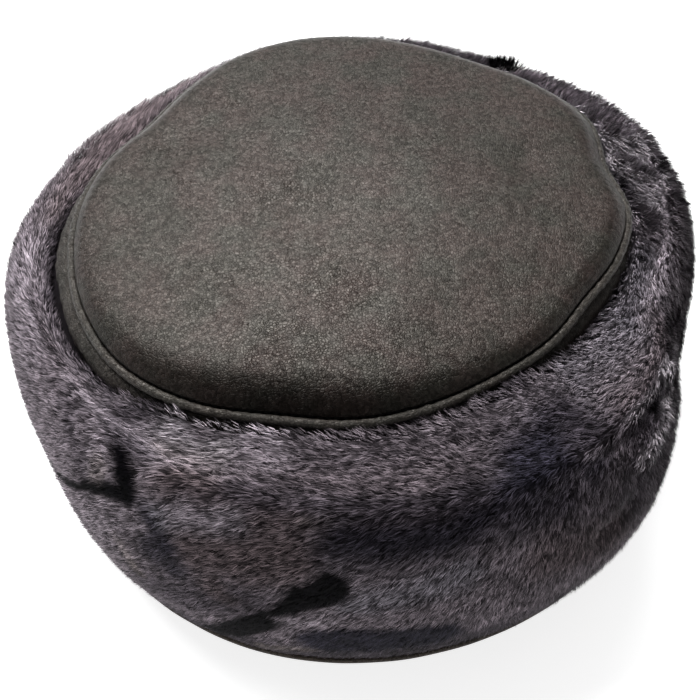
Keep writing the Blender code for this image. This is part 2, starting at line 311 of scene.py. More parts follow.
def leather(name, green, red, roughness, grain=0.95, shine=0.36):
    """A pebbled leather with two dye tones. Grain is the pebbles' width in millimetres."""
    finish, tree, shader = new_finish(name)
    where = tree.nodes.new("ShaderNodeTexCoord").outputs["Object"]
    worn = attribute(tree, "worn")

    # Pebbles, each a little lighter or darker, with dark borders
    bent = pushed(tree, where, 2.0, 1.4)
    border = node(tree, "ShaderNodeTexVoronoi", bent, 1 / (grain * MM), feature="DISTANCE_TO_EDGE")
    valley = node(tree, "ShaderNodeMapRange", border, 0.0, 0.22, 1.0, 0.0)
    pebbles = tree.nodes.new("ShaderNodeTexVoronoi")
    tree.links.new(bent, pebbles.inputs["Vector"])
    pebbles.inputs["Scale"].default_value = 1 / (grain * MM)
    each = node(tree, "ShaderNodeSeparateColor", pebbles.outputs["Color"])
    deep = node(tree, "ShaderNodeMapRange", worn, 0.0, 1.0, 0.45, 0.75)
    valley = maths(tree, "MULTIPLY", valley, deep)

    # Wrinkles, in bundles that come and go
    flow = noise(tree, pushed(tree, where, 9.0, 9.0), 5.5, 1.0)[0]
    off = maths(tree, "ABSOLUTE", maths(tree, "SUBTRACT", flow, 0.5))
    thin = node(tree, "ShaderNodeMapRange", off, 0.0, 0.022, 1.0, 0.0)
    bundle = node(tree, "ShaderNodeMapRange", noise(tree, where, 16.0)[0], 0.50, 0.66, 0.0, 0.8)
    wrinkle = maths(tree, "MULTIPLY", thin, maths(tree, "MAXIMUM", bundle, worn))

    # The dye, and a shade for each pebble, which also sets how much it shines
    dyed = node(tree, "ShaderNodeMapRange", noise(tree, where, 13.0, 4.0)[0], 0.38, 0.62, 0.0, 1.0)
    dyed = mix_colour(tree, dyed, (*green, 1), (*red, 1))
    pits = maths(tree, "MULTIPLY_ADD", valley, -0.55, 1.0)
    pits = maths(tree, "MULTIPLY", pits, maths(tree, "MULTIPLY_ADD", wrinkle, -0.32, 1.0))
    shade = maths(tree, "MULTIPLY", node(tree, "ShaderNodeMapRange", each, 0.0, 1.0, 0.60, 1.40), pits)
    # Each piece's painted factor scales colour and shine: worn shine, painted highlights and painted
    # shade
    shade = maths(tree, "MULTIPLY", shade, attribute(tree, "gloss"))
    grey = node(tree, "ShaderNodeCombineColor", shade, shade, shade)
    tree.links.new(mix_colour(tree, 1.0, dyed, grey, "MULTIPLY"), shader.inputs["Base Color"])
    tree.links.new(maths(tree, "MULTIPLY", shade, shine), shader.inputs["Specular IOR Level"])
    shader.inputs["Roughness"].default_value = roughness
    shader.inputs["Specular Tint"].default_value = (1.0, 0.94, 0.87, 1.0)

    # The grain stands up by a fifth of a millimetre
    fine = noise(tree, where, 0.45)[0]
    height = maths(tree, "MULTIPLY_ADD", valley, -1.0, maths(tree, "MULTIPLY", fine, 0.7))
    height = maths(tree, "MULTIPLY_ADD", wrinkle, -0.8, height)
    bump = tree.nodes.new("ShaderNodeBump")
    bump.inputs["Strength"].default_value = 0.8
    bump.inputs["Distance"].default_value = 0.21 * MM
    tree.links.new(height, bump.inputs["Height"])
    tree.links.new(bump.outputs["Normal"], shader.inputs["Normal"])
    return finish


def dress(piece, finish, worn, gloss):
    """Gives a piece its leather, worn from 0 to 1, and a factor on its colour and shine that carries
    painted light and shade.
    """
    count = len(piece.data.vertices)
    paint(piece.data, "worn", np.broadcast_to(worn, count))
    paint(piece.data, "gloss", np.broadcast_to(gloss, count))
    piece.data.materials.append(finish)


crown_finish = leather("crown_nappa", (0.0160, 0.0144, 0.0112), (0.0240, 0.0160, 0.0138), 0.44,
                       shine=0.30)
piping_finish = leather("piping_nappa", (0.019, 0.018, 0.015), (0.024, 0.020, 0.017), 0.38, grain=0.7)
side_finish = leather("side_nappa", (0.022, 0.020, 0.0165), (0.027, 0.021, 0.018), 0.42)
hem_finish = leather("hem_nappa", (0.030, 0.021, 0.015), (0.045, 0.031, 0.022), 0.55, grain=0.7)

# %% [markdown]
# ## The crown
# The crown is one panel of leather pulled over a flat stiffened dome. It could be a scaled
# sphere, but the real one follows the seam's uneven outline, sinks a little where fingers have
# pressed it, and gathers in small puckers where the thread holds its edge. So its height is a
# function of the place: a dome, less the dents, less the creases, plus the puckers.

# %% Sizes of the crown
LEATHER = 2.0
DOME_FOOT = 103.4
DOME_RISE = 11.8
DOME_INSET = 1.0
CROWN_FOOT = 100.6
RIM_INSET = 1.95
RIM_ROLL = 0.7

# How wide the rolled edge is, as a share of the radius, and how far it drops. It is wider and
# deeper in front, and narrower and shallower at the right and the left.
EDGE_SHARE = 0.130
EDGE_DROP = 5.6
Edge = namedtuple("Edge", "angle reach share drop")
EDGES = (
    Edge(254.0, 28.0, 0.050, 3.4),
    Edge(320.0, 50.0, -0.055, -3.0),
    Edge(188.0, 34.0, -0.065, -2.8),
)

# Where fingers have pressed the dome in, or out where the depth is negative
Dent = namedtuple("Dent", "x y reach depth")
DENTS = (
    Dent(-58.0, 32.0, 20.0, 1.4),
    Dent(-20.0, -8.0, 26.0, 1.0),
    Dent(62.0, 12.0, 18.0, 1.2),
    Dent(14.0, -52.0, 22.0, -0.8),
)

# Soft creases in the leather, each a shallow groove between two points
Crease = namedtuple("Crease", "x_1 y_1 x_2 y_2 width depth")
CREASES = (
    Crease(-56.0, 56.0, -46.0, 47.0, 0.9, 0.20),
    Crease(-47.0, 48.5, -36.0, 36.0, 0.8, 0.16),
    Crease(-54.0, 53.0, -43.0, 46.0, 0.8, 0.14),
    Crease(-74.0, 27.0, -61.0, 18.0, 0.9, 0.16),
    Crease(-72.0, 29.5, -60.0, 22.0, 0.8, 0.12),
    Crease(-45.0, 15.0, -33.0, 7.0, 0.8, 0.13),
    Crease(-33.0, 7.0, -22.0, -13.0, 0.9, 0.18),
    Crease(-24.0, 18.0, -19.0, 7.0, 0.8, 0.12),
    Crease(-28.0, -4.0, -15.0, -14.0, 0.9, 0.18),
    Crease(-15.0, -14.0, -3.0, -10.0, 0.9, 0.15),
    Crease(-43.0, -47.0, -24.0, -34.0, 1.0, 0.14),
    Crease(-36.0, -46.0, -27.0, -37.0, 0.8, 0.12),
    Crease(-26.0, -75.0, -14.0, -85.0, 1.0, 0.18),
    Crease(-18.0, -70.0, -10.0, -80.0, 0.9, 0.14),
    Crease(14.0, -69.0, 31.0, -78.5, 1.0, 0.16),
    Crease(19.0, -68.0, 27.0, -73.0, 0.8, 0.12),
    Crease(-9.0, -43.0, -4.0, -53.0, 0.8, 0.14),
    Crease(-4.0, -42.0, -7.0, -50.0, 0.7, 0.12),
)

# Where the grain has been bent most and breaks into crinkles
Worn = namedtuple("Worn", "x y reach amount")
WORN = (
    Worn(-6.0, -47.0, 12.0, 1.0),
    Worn(-20.0, -78.0, 16.0, 1.0),
    Worn(8.0, -76.0, 16.0, 0.8),
    Worn(24.0, -72.0, 13.0, 0.9),
    Worn(-22.0, -6.0, 14.0, 0.6),
    Worn(-46.0, 46.0, 9.0, 0.6),
    Worn(-68.0, 23.0, 9.0, 0.6),
    Worn(-44.0, -45.0, 16.0, 0.4),
    Worn(60.0, -50.0, 14.0, 0.3),
)

# Small gathers in the leather along the seam, one in every PUCKER millimetres
PUCKER = 4.6
PUCKER_RISE = 0.10
PUCKER_REACH = 4.0
PUCKER_RADIUS = 90.0

# %% The crown's height
CREASE_DEPTH = 1.6
CREASE_WIDTH = 0.75


def groove(x, y, crease):
    """How far a crease sinks the points, fading out at its two ends."""
    run = np.array([crease.x_2 - crease.x_1, crease.y_2 - crease.y_1])
    length = np.hypot(*run)
    run /= length
    passed = (x - crease.x_1) * run[0] + (y - crease.y_1) * run[1]
    aside = (x - crease.x_1) * run[1] - (y - crease.y_1) * run[0]
    aside = aside + 0.9 * np.sin(passed * 0.9 + crease.x_1)
    fade = smooth_step(passed, -1.0, 0.35 * length)
    fade = fade * (1 - smooth_step(passed, 0.65 * length, length + 1))
    return CREASE_DEPTH * crease.depth * bell(aside / (CREASE_WIDTH * crease.width)) * fade


def crown_height(angle, share):
    """Height of the crown's outer face, share 0 in the middle and 1 at its widest line."""
    radius = (outline("seam", angle) - DOME_INSET) * share
    x = radius * np.cos(np.radians(angle))
    y = radius * np.sin(np.radians(angle))
    edge, drop = EDGE_SHARE, EDGE_DROP
    for row in EDGES:
        near = bell(apart(angle, row.angle) / row.reach)
        edge = edge + row.share * near
        drop = drop + row.drop * near
    height = DOME_FOOT + (DOME_RISE - drop) * (1 - share ** 2)
    height = height + drop * (1 - np.clip((share - 1 + edge) / edge, 0, 1) ** 3)
    for dent in DENTS:
        away = np.hypot(x - dent.x, y - dent.y) / dent.reach
        height = height - dent.depth * bell(away) * (1 - share ** 4)
    flat = np.stack([x, y], -1)
    inside = 1 - share ** 6
    height = height + inside * (0.22 * waves(flat, 26, 3) + 0.06 * waves(flat, 9, 4))
    for crease in CREASES:
        height = height - groove(x, y, crease) * inside
    return x, y, height


def crown_rings(around, rows):
    """The angles round the crown, and the rings of its outer face from the rim to the middle."""
    angle = np.linspace(0, 360, around, endpoint=False)
    steps = np.arange(rows) / rows
    shares = 1 - (0.55 * steps + 0.45 * (1 - np.cos(steps * pi / 2)))
    shares, angles = np.meshgrid(shares, angle, indexing="ij")
    x, y, height = crown_height(angles, shares)
    seam = outline("seam", angles)
    arc = np.radians(angles) * PUCKER_RADIUS
    pucker = np.cos(2 * pi * arc / PUCKER + 1.6 * waves(np.stack([x, y], -1), 18, 5))
    near_seam = np.exp(-((1 - shares) * seam / PUCKER_REACH) ** 1.2)
    height = height + PUCKER_RISE * pucker * near_seam
    return angle, np.stack([x, y, height], -1)


# %% The crown as a closed panel
AROUND = 480
ROWS = 104
UNDER_SHARES = (0.2, 0.4, 0.6, 0.75, 0.87, 0.95)
UNDER_DEPTH = LEATHER * 1.1
RIM_SECTION = (
    (RIM_INSET + LEATHER, DOME_FOOT - RIM_ROLL),
    (RIM_INSET + LEATHER, CROWN_FOOT),
    (RIM_INSET, CROWN_FOOT),
    (RIM_INSET - 0.05, DOME_FOOT - 1.6),
    (RIM_INSET - 0.5, DOME_FOOT - RIM_ROLL),
)
angle, outside = crown_rings(AROUND, ROWS)
rim = [place(angle, outline("seam", angle) - inset, height) for inset, height in RIM_SECTION]
under_shares, under_angles = np.meshgrid(UNDER_SHARES, angle, indexing="ij")
under_x, under_y, under_height = crown_height(under_angles, under_shares)
inside = np.stack([under_x, under_y, under_height - UNDER_DEPTH], -1)
top_height = crown_height(np.zeros(1), np.zeros(1))[2][0]
crown = ring_mesh("crown_panel", list(inside) + rim + list(outside),
                  poles=((0, 0, top_height - UNDER_DEPTH), (0, 0, top_height)))

# %% Wear, painted highlight and painted shade on the crown
# Worn places shine more, a painted highlight lightens the middle, and painted shade darkens
# the edge by the seam, most of all in front
PAINTED_MIDDLE_HIGHLIGHT = Worn(-16.0, -34.0, 46.0, 0.28)
WORN_GLOSS = 0.22
RIM_SHADE_ANGLE = 258.0
RIM_SHADE_REACH = 34.0
RIM_SHADE_ALL_ROUND = 0.16
RIM_SHADE_IN_FRONT = 0.64


def wear_and_highlight_at(row, x, y):
    """How strong one place's wear, and likewise the painted highlight in the middle, is at the points.
    """
    return row.amount * bell(np.hypot(x - row.x, y - row.y) / row.reach)


points = np.empty(len(crown.data.vertices) * 3, np.float32)
crown.data.vertices.foreach_get("co", points)
points = points.reshape(-1, 3) / MM - SHIFT
flat = points[:, :2]
x, y = flat.T
worn = np.max([wear_and_highlight_at(row, x, y) for row in WORN], axis=0)
worn = worn * (1.1 + 0.9 * waves(flat, 7, 8)) + 0.10 * waves(flat, 12, 9)
worn = np.clip(worn, 0, 1)
turn = np.degrees(np.arctan2(y, x)) % 360
front = bell((turn - RIM_SHADE_ANGLE) / RIM_SHADE_REACH)
edge = smooth_step(np.hypot(x, y) / outline("seam", turn), 0.84, 0.99)
# Worn places shine more, and a painted highlight lightens the middle
gloss = 1 + WORN_GLOSS * worn + wear_and_highlight_at(PAINTED_MIDDLE_HIGHLIGHT, x, y)
# Painted shade darkens the edge by the seam, most of all in front
gloss = gloss * (1 - (RIM_SHADE_ALL_ROUND + RIM_SHADE_IN_FRONT * front) * edge)
dress(crown, crown_finish, worn, gloss)
print("worn", worn.mean().round(3), "and gloss", gloss.mean().round(3), "on average")

# %% [markdown]
# ## The cord in the seam
# A strip of leather is rolled round a string and caught in the seam. Leather that is rolled
# along a curve gathers into small ridges across the roll, one at every few stitches. A curve
# with a round bevel would be quick and dead smooth, so the tube is made from rings whose radius
# swells and shrinks along the seam.

# %% The rolled cord
SEAM_HEIGHT = 101.2


def seam_length():
    """How far round the seam each degree has come, in millimetres."""
    turn = np.arange(0.0, 360.5, 0.5)
    line = place(turn, outline("seam", turn), 0.0)
    steps = np.linalg.norm(np.diff(line, axis=0), axis=1)
    return turn, np.concatenate([[0.0], np.cumsum(steps)])


seam_turn, seam_run = seam_length()
print("seam length", seam_run[-1].round(1), "mm")

PIPING_AROUND = 900
PIPING_SIDES = 14
angle = np.linspace(0, 360, PIPING_AROUND, endpoint=False)
run = np.interp(angle, seam_turn, seam_run)
ridges = round(seam_run[-1] / PUCKER)
phase = 2 * pi * ridges * run / seam_run[-1]
line = place(angle, outline("seam", angle), 0.0)[:, :2]
wander = waves(line, 30, 11)
gather = np.cos(phase + 1.3 * waves(line, 24, 12)) * (0.6 + 0.5 * waves(line, 16, 13))
sides = []
for side in range(PIPING_SIDES):
    around = 2 * pi * side / PIPING_SIDES
    skew = np.cos(2 * phase + around + 2 * waves(line, 11, 14))
    radius = PIPING_RADIUS * (0.96 + 0.075 * gather + 0.045 * skew + 0.03 * wander)
    sides.append(place(angle, outline("seam", angle) + radius * np.cos(around),
                       SEAM_HEIGHT + radius * np.sin(around)))
piping = ring_mesh("seam_piping", sides)
dress(piping, piping_finish, 0.5, 1.1)

# %% [markdown]
# ## The stitches in the seam
# A machine seam runs in the groove between the crown and the cord. Only its dark thread shows,
# as a row of small dashes that give the groove a toothed edge. Each could be placed by a loop,
# but a node tree that walks along the seam's line is shorter and can be reused on any seam.

# %% The thread
THREAD_PITCH = 2.6
THREAD_LENGTH = 2.0
THREAD_RADIUS = 0.32
THREAD_INSET = 1.55
THREAD_RISE = 1.05
STITCH_SIDES = 6
STITCH_SECTION = ((-0.5, 0.25), (-0.3, 0.9), (0.0, 1.0), (0.3, 0.9), (0.5, 0.25))


def make_stitch():
    """One dash of thread along +Z, thinner at its two ends."""
    points = []
    for along, width in STITCH_SECTION:
        for turn in np.linspace(0, 2 * pi, STITCH_SIDES, endpoint=False):
            points.append((THREAD_RADIUS * width * np.cos(turn) * MM,
                           THREAD_RADIUS * width * np.sin(turn) * MM, THREAD_LENGTH * along * MM))
    ring = list(range(STITCH_SIDES))
    after = ring[1:] + ring[:1]
    starts = [row * STITCH_SIDES for row in range(len(STITCH_SECTION))]
    faces = [(low + k, low + n, high + n, high + k)
             for low, high in zip(starts, starts[1:]) for k, n in zip(ring, after)]
    ends = [tuple(ring[::-1]), tuple(starts[-1] + k for k in ring)]
    mesh = bpy.data.meshes.new("stitch")
    mesh.from_pydata(points, [], faces + ends)
    mesh.shade_smooth()
    return add_object("stitch", mesh)


def new_tree(name, inputs, output):
    """An empty Geometry Nodes tree with named inputs, and those inputs."""
    tree = bpy.data.node_groups.new(name, "GeometryNodeTree")
    for label, kind in inputs:
        tree.interface.new_socket(label, in_out="INPUT", socket_type="NodeSocket" + kind)
    tree.interface.new_socket(output, in_out="OUTPUT", socket_type="NodeSocketGeometry")
    return tree, tree.nodes.new("NodeGroupInput").outputs


def stitch_tree():
    """Copies of a stitch at an even pitch along a line of edges."""
    inputs = (("Line", "Geometry"), ("Pitch", "Float"), ("Stitch", "Object"), ("Finish", "Material"))
    tree, given = new_tree("sew", inputs, "Seam")
    curve = node(tree, "GeometryNodeMeshToCurve", given["Line"])
    walk = tree.nodes.new("GeometryNodeCurveToPoints")
    walk.mode = "LENGTH"
    tree.links.new(curve, walk.inputs["Curve"])
    tree.links.new(given["Pitch"], walk.inputs["Length"])
    thread = tree.nodes.new("GeometryNodeObjectInfo")
    tree.links.new(given["Stitch"], thread.inputs["Object"])
    along = node(tree, "FunctionNodeAlignRotationToVector", None, 1.0, walk.outputs["Tangent"], axis="Z")
    sewn = node(tree, "GeometryNodeInstanceOnPoints", walk.outputs["Points"], None,
                thread.outputs["Geometry"], None, None, along)
    sewn = node(tree, "GeometryNodeRealizeInstances", sewn)
    sewn = node(tree, "GeometryNodeSetMaterial", sewn, None, given["Finish"])
    tree.links.new(sewn, tree.nodes.new("NodeGroupOutput").inputs[0])
    return tree


def run_tree(host, tree, **values):
    """Gives a host its node tree, and puts what the tree makes in the host's place."""
    modifier = host.modifiers.new("grow", "NODES")
    modifier.node_group = tree
    for socket in tree.interface.items_tree:
        if socket.in_out == "INPUT" and socket.name in values:
            modifier[socket.identifier] = values[socket.name]
    host.update_tag()
    made = host.evaluated_get(bpy.context.evaluated_depsgraph_get())
    mesh = bpy.data.meshes.new_from_object(made)
    host.modifiers.clear()
    before = host.data
    host.data = mesh
    bpy.data.meshes.remove(before)
    mesh.name = host.name
    mesh.materials.clear()
    mesh.materials.append(values["Finish"])
    mesh.polygons.foreach_set("material_index", np.zeros(len(mesh.polygons), np.int32))
    print(host.name, "has", len(mesh.polygons), "faces of", values["Finish"].name)


def line_mesh(name, points):
    """A closed line of edges through points in millimetres."""
    count = len(points)
    mesh = bpy.data.meshes.new(name)
    edges = [(k, (k + 1) % count) for k in range(count)]
    mesh.from_pydata(((points + SHIFT) * MM).tolist(), edges, [])
    return add_object(name, mesh)


angle = np.linspace(0, 360, 720, endpoint=False)
stitch = make_stitch()
thread_line = place(angle, outline("seam", angle) - THREAD_INSET, SEAM_HEIGHT + THREAD_RISE)
stitches = line_mesh("seam_stitches", thread_line)
thread_finish = plain("thread", (0.012, 0.0115, 0.011), 0.7)[0]
pitch = seam_run[-1] * MM / round(seam_run[-1] / THREAD_PITCH)
run_tree(stitches, stitch_tree(), Pitch=pitch, Stitch=stitch, Finish=thread_finish)
bpy.data.objects.remove(stitch)

# %% [markdown]
# ## The leather wall
# Below the cord the leather wall drops into the fur. Only a narrow strip of it shows, left and
# right of the front, where it swells out under the cord in a soft wrinkled ridge. The rest of it
# shapes the hollow for the head. Its section is a short table, and the wrinkles are waves that
# are strong only on the ridge.

# %% The wall's section
SideRow = namedtuple("SideRow", "height seam_share outward ridge")
SIDE_SECTION = (
    SideRow(0.0, 0.0, 2.0, 0.0),
    SideRow(15.0, 0.07, 2.0, 0.0),
    SideRow(30.0, 0.15, 2.0, 0.0),
    SideRow(50.0, 0.4, 2.0, 0.0),
    SideRow(66.0, 0.7, 2.0, 0.0),
    SideRow(76.0, 0.9, 2.0, 0.0),
    SideRow(82.0, 1.0, 2.0, 0.0),
    SideRow(87.0, 1.0, 2.0, 0.35),
    SideRow(90.5, 1.0, 2.1, 0.8),
    SideRow(93.0, 1.0, 2.3, 1.0),
    SideRow(95.0, 1.0, 2.3, 1.0),
    SideRow(96.6, 1.0, 1.7, 0.9),
    SideRow(97.8, 1.0, 0.6, 0.5),
    SideRow(98.4, 1.0, -0.6, 0.1),
    SideRow(98.9, 1.0, -2.0, 0.0),
    SideRow(99.6, 1.0, -4.6, 0.0),
)
WALL_TOP = SIDE_SECTION[-1]
SHOULDER_HEIGHT = 92.0
SHOULDER_RISE = 7.8
RIDGE_SHARE = 0.62


def wall_base(angle, share):
    """Radius of the wall's inner face, share 0 on the head's oval and 1 on the seam."""
    return head(angle) * (1 - share) + outline("seam", angle) * share


def outer_ring(angle, row):
    """A ring of the wall's outer face, with its ridge and wrinkles."""
    base = wall_base(angle, row.seam_share)
    room = outline("lip", angle) - PLAIN_LIP
    line = place(angle, base, row.height)
    wrinkle = 0.30 * waves(line, 5.5, 21) + 0.35 * waves(line, 14, 22)
    out = row.outward + row.ridge * (RIDGE_SHARE * room + wrinkle)
    return place(angle, base + out, row.height)


def inner_ring(angle, row):
    """A ring of the wall's inner face, lower near the top, where the leather turns in."""
    drop = LEATHER * max(0.0, (row.height - SHOULDER_HEIGHT) / SHOULDER_RISE) ** 2
    return place(angle, wall_base(angle, row.seam_share) + row.outward - LEATHER, row.height - drop)


angle = np.linspace(0, 360, 420, endpoint=False)
outside = [outer_ring(angle, row) for row in SIDE_SECTION]
inside = [inner_ring(angle, row) for row in reversed(SIDE_SECTION[:-2])]
tuck = place(angle, outline("seam", angle) + WALL_TOP.outward, WALL_TOP.height - LEATHER)
wall = ring_mesh("leather_wall", outside + [tuck] + inside)
# Painted shade: the wall is darkened a little all over, as the strip under the cord lies in shadow
dress(wall, side_finish, 0.6, 0.85)

# %% [markdown]
# ## The edge under the fur
# The hat stands on a narrow flat edge of brown leather. It is folded round a stiffener, so its
# outer corner is soft, and the fold wavers a little along the hem.

# %% The hem
HEM_HEIGHT = 3.0
HEM_INSET = 0.8
GAP = 0.3
HEM_SECTION = ((-2.2, 0.0), (-0.9, 0.05), (-0.25, 0.45), (0.0, 1.1), (0.0, 1.9), (-0.25, 2.55),
               (-1.0, HEM_HEIGHT))
angle = np.linspace(0, 360, 480, endpoint=False)
hem = outline("hem", angle) - HEM_INSET
inner = head(angle) + LEATHER + GAP
mid = (inner + hem) / 2
waver = 0.12 * waves(place(angle, hem, 0.0), 17, 31)
hem_rings = [place(angle, hem + inset + waver, height) for inset, height in HEM_SECTION]
hem_rings += [place(angle, radius, HEM_HEIGHT) for radius in (mid, inner)]
hem_rings += [place(angle, radius, 0.0) for radius in (inner, mid)]
hem_edge = ring_mesh("hem_edge", hem_rings)
dress(hem_edge, hem_finish, 0.4, 1.0)

# %% [markdown]
# ## The roll of fur
# The fur is a strip of clipped skin with the hair outside, rolled over at its top edge. Two
# layers make it: a skin that gives the roll its form and closes the view between the hairs,
# darkened with painted shade, and the hairs themselves. The skin lies as deep below the hat's
# outline as the hair is high.

# %% The section of the roll
BULGE_HEIGHT = 57.0
CREST_HEIGHT = 92.5
CREST_SET_BACK = 14.0
TUCK_HEIGHT = 80.5
BELLY = 0.48
ROLL = 0.36
SECTION_LENGTH = 112.0
FOOT = HEM_HEIGHT + GAP

# Creases and ridges of the roll, each along a line on the band, deep where the depth is positive
Fold = namedtuple("Fold", "angle_1 along_1 angle_2 along_2 width depth")
FOLDS = (
    Fold(356.0, 0.53, 338.0, 0.64, 5.0, 2.5),
    Fold(338.0, 0.64, 325.0, 0.69, 4.0, 1.6),
    Fold(325.0, 0.69, 312.0, 0.72, 4.0, 1.6),
    Fold(312.0, 0.76, 299.0, 0.70, 6.0, 1.5),
    Fold(330.0, 0.70, 316.0, 0.64, 3.5, -1.8),
    Fold(329.0, 0.54, 307.0, 0.50, 4.0, 2.5),
    Fold(22.0, 0.99, 8.0, 0.93, 7.0, 3.0),
    Fold(24.0, 0.92, 15.0, 0.74, 4.0, 2.0),
    Fold(341.0, 0.59, 327.5, 0.735, 2.2, -1.5),
    Fold(336.0, 0.58, 323.0, 0.685, 2.2, 1.6),
    Fold(329.0, 0.65, 315.0, 0.635, 2.0, -1.6),
    Fold(327.0, 0.605, 314.0, 0.59, 2.2, 1.6),
    Fold(27.0, 0.85, 38.0, 0.86, 8.0, -2.0),
    Fold(46.0, 0.86, 78.0, 0.88, 7.0, -1.4),
    Fold(63.0, 0.80, 67.0, 0.86, 5.0, 2.4),
    Fold(56.5, 0.80, 57.5, 0.90, 3.5, -3.4),
)


def roll_outline(angle, along):
    """Radius and height on the fur's outline, along 0 at the hem and 1 at the lip by the crown."""
    hem = outline("hem", angle)
    bulge = outline("bulge", angle)
    crest = bulge - CREST_SET_BACK
    lip = outline("seam", angle) + outline("lip", angle)
    belly = np.clip(along / BELLY, 0, 1)
    roll = np.clip((along - BELLY) / ROLL, 0, 1) * pi / 2
    tuck = np.clip((along - BELLY - ROLL) / (1 - BELLY - ROLL), 0, 1) * pi / 2
    radius = np.where(along < BELLY, hem + (bulge - hem) * np.sin(belly * pi / 2),
                      np.where(along < BELLY + ROLL, crest + (bulge - crest) * np.cos(roll),
                               crest - (crest - lip) * np.sin(tuck)))
    height = np.where(along < BELLY, FOOT + (BULGE_HEIGHT - FOOT) * belly,
                      np.where(along < BELLY + ROLL,
                               BULGE_HEIGHT + (CREST_HEIGHT - BULGE_HEIGHT) * np.sin(roll),
                               CREST_HEIGHT - outline("drop", angle) * (1 - np.cos(tuck))))
    return radius, height


def off_line(angle, along, row):
    """Distance in millimetres from a line on the band: beside it, and past its ends."""
    around = radians(1.0) * outline("bulge", angle)
    run_1 = (row.angle_2 - row.angle_1) * around
    run_2 = (row.along_2 - row.along_1) * SECTION_LENGTH
    here_1 = apart(angle, row.angle_1) * around
    here_2 = (along - row.along_1) * SECTION_LENGTH
    length = np.maximum(np.hypot(run_1, run_2), 1e-6)
    passed = (here_1 * run_1 + here_2 * run_2) / length
    past = np.maximum(0.0, np.maximum(-passed, passed - length))
    return (here_1 * run_2 - here_2 * run_1) / length, past


def fold_depth(angle, along):
    """How far the folds sink the roll, in millimetres."""
    total = 0.0
    for fold in FOLDS:
        aside, past = off_line(angle, along, fold)
        total = total + fold.depth * np.exp(-(aside / fold.width) ** 2 - (past / fold.width) ** 2)
    return total


SLOPE_STEP = 0.004


def fur_place(angle, along, deep):
    """Points on the roll, a distance deep below its outline."""
    r_1, h_1 = roll_outline(angle, np.maximum(along - SLOPE_STEP, 0.0))
    r_2, h_2 = roll_outline(angle, np.minimum(along + SLOPE_STEP, 1.0))
    radius, height = roll_outline(angle, along)
    length = np.hypot(r_2 - r_1, h_2 - h_1)
    inward = deep + fold_depth(angle, along)
    return place(angle, radius - inward * (h_2 - h_1) / length,
                 height + inward * (r_2 - r_1) / length)


# %% [markdown]
# ## How the hair is combed
# Fur has a nap. Its hair leaves the skin at a slant and all of it leans one way, here round the
# hat, and turns towards the crown near the seam. A table gives the lean at a few places, as
# degrees from straight up the roll, with the length of the hair there. Between the places the
# rows are blended by their distance.

# %% The comb
Comb = namedtuple("Comb", "angle along turn pile lift")
COMB = (
    Comb(180, 0.80, -85, 4.6, 46),
    Comb(180, 0.40, -95, 4.2, 48),
    Comb(200, 0.86, -82, 4.5, 48),
    Comb(205, 0.62, -104, 4.2, 50),
    Comb(222, 0.86, -118, 5.0, 42),
    Comb(222, 0.62, -114, 4.2, 46),
    Comb(222, 0.40, -110, 4.2, 44),
    Comb(240, 0.95, -80, 5.5, 36),
    Comb(240, 0.82, -124, 5.0, 32),
    Comb(240, 0.65, -112, 4.2, 32),
    Comb(240, 0.42, -116, 3.7, 36),
    Comb(258, 0.95, -72, 5.5, 38),
    Comb(258, 0.81, -113, 5.0, 32),
    Comb(258, 0.62, -102, 4.2, 32),
    Comb(258, 0.40, -123, 3.7, 36),
    Comb(275, 0.95, -68, 6.0, 36),
    Comb(275, 0.80, -102, 5.5, 34),
    Comb(275, 0.60, -107, 4.2, 36),
    Comb(275, 0.30, -103, 3.7, 38),
    Comb(289, 0.95, -38, 6.0, 40),
    Comb(289, 0.80, -106, 5.5, 36),
    Comb(289, 0.60, -124, 4.2, 46),
    Comb(290, 0.40, -142, 3.7, 50),
    Comb(304, 0.84, -98, 5.5, 34),
    Comb(302, 0.62, -148, 3.7, 54),
    Comb(306, 0.40, -120, 3.7, 54),
    Comb(318, 0.84, -84, 6.0, 32),
    Comb(306, 0.98, -48, 6.0, 38),
    Comb(322, 0.98, -52, 5.5, 38),
    Comb(318, 0.62, -118, 3.3, 54),
    Comb(334, 0.84, -74, 5.4, 32),
    Comb(335, 0.60, -112, 3.5, 50),
    Comb(340, 0.45, -110, 4.5, 48),
    Comb(350, 0.84, -100, 5.6, 34),
    Comb(8, 0.84, -108, 6.8, 50),
    Comb(8, 0.50, -108, 6.0, 40),
    Comb(20, 0.82, -92, 8.0, 58),
    Comb(33, 0.84, -70, 8.0, 58),
    Comb(50, 0.84, -56, 8.0, 58),
    Comb(80, 0.80, -62, 8.0, 58),
    Comb(60, 0.40, -90, 6.0, 40),
    Comb(110, 0.80, -66, 7.0, 36),
    Comb(115, 0.40, -92, 6.0, 40),
    Comb(145, 0.80, -76, 6.5, 40),
)
COMB_REACH = 14.0
MM_A_DEGREE = 2.1
STANDING = 56.0
CROWN_RISE = 4.2
OPEN_DROP = 5.0


def by_the_crown(angle, along):
    """1 where the fur meets the crown, 0 further out, and less where leather shows between them."""
    shut = 1 - 0.8 * np.clip(outline("drop", angle) / OPEN_DROP, 0, 1)
    return shut * smooth_step(along, 0.84, 0.97)


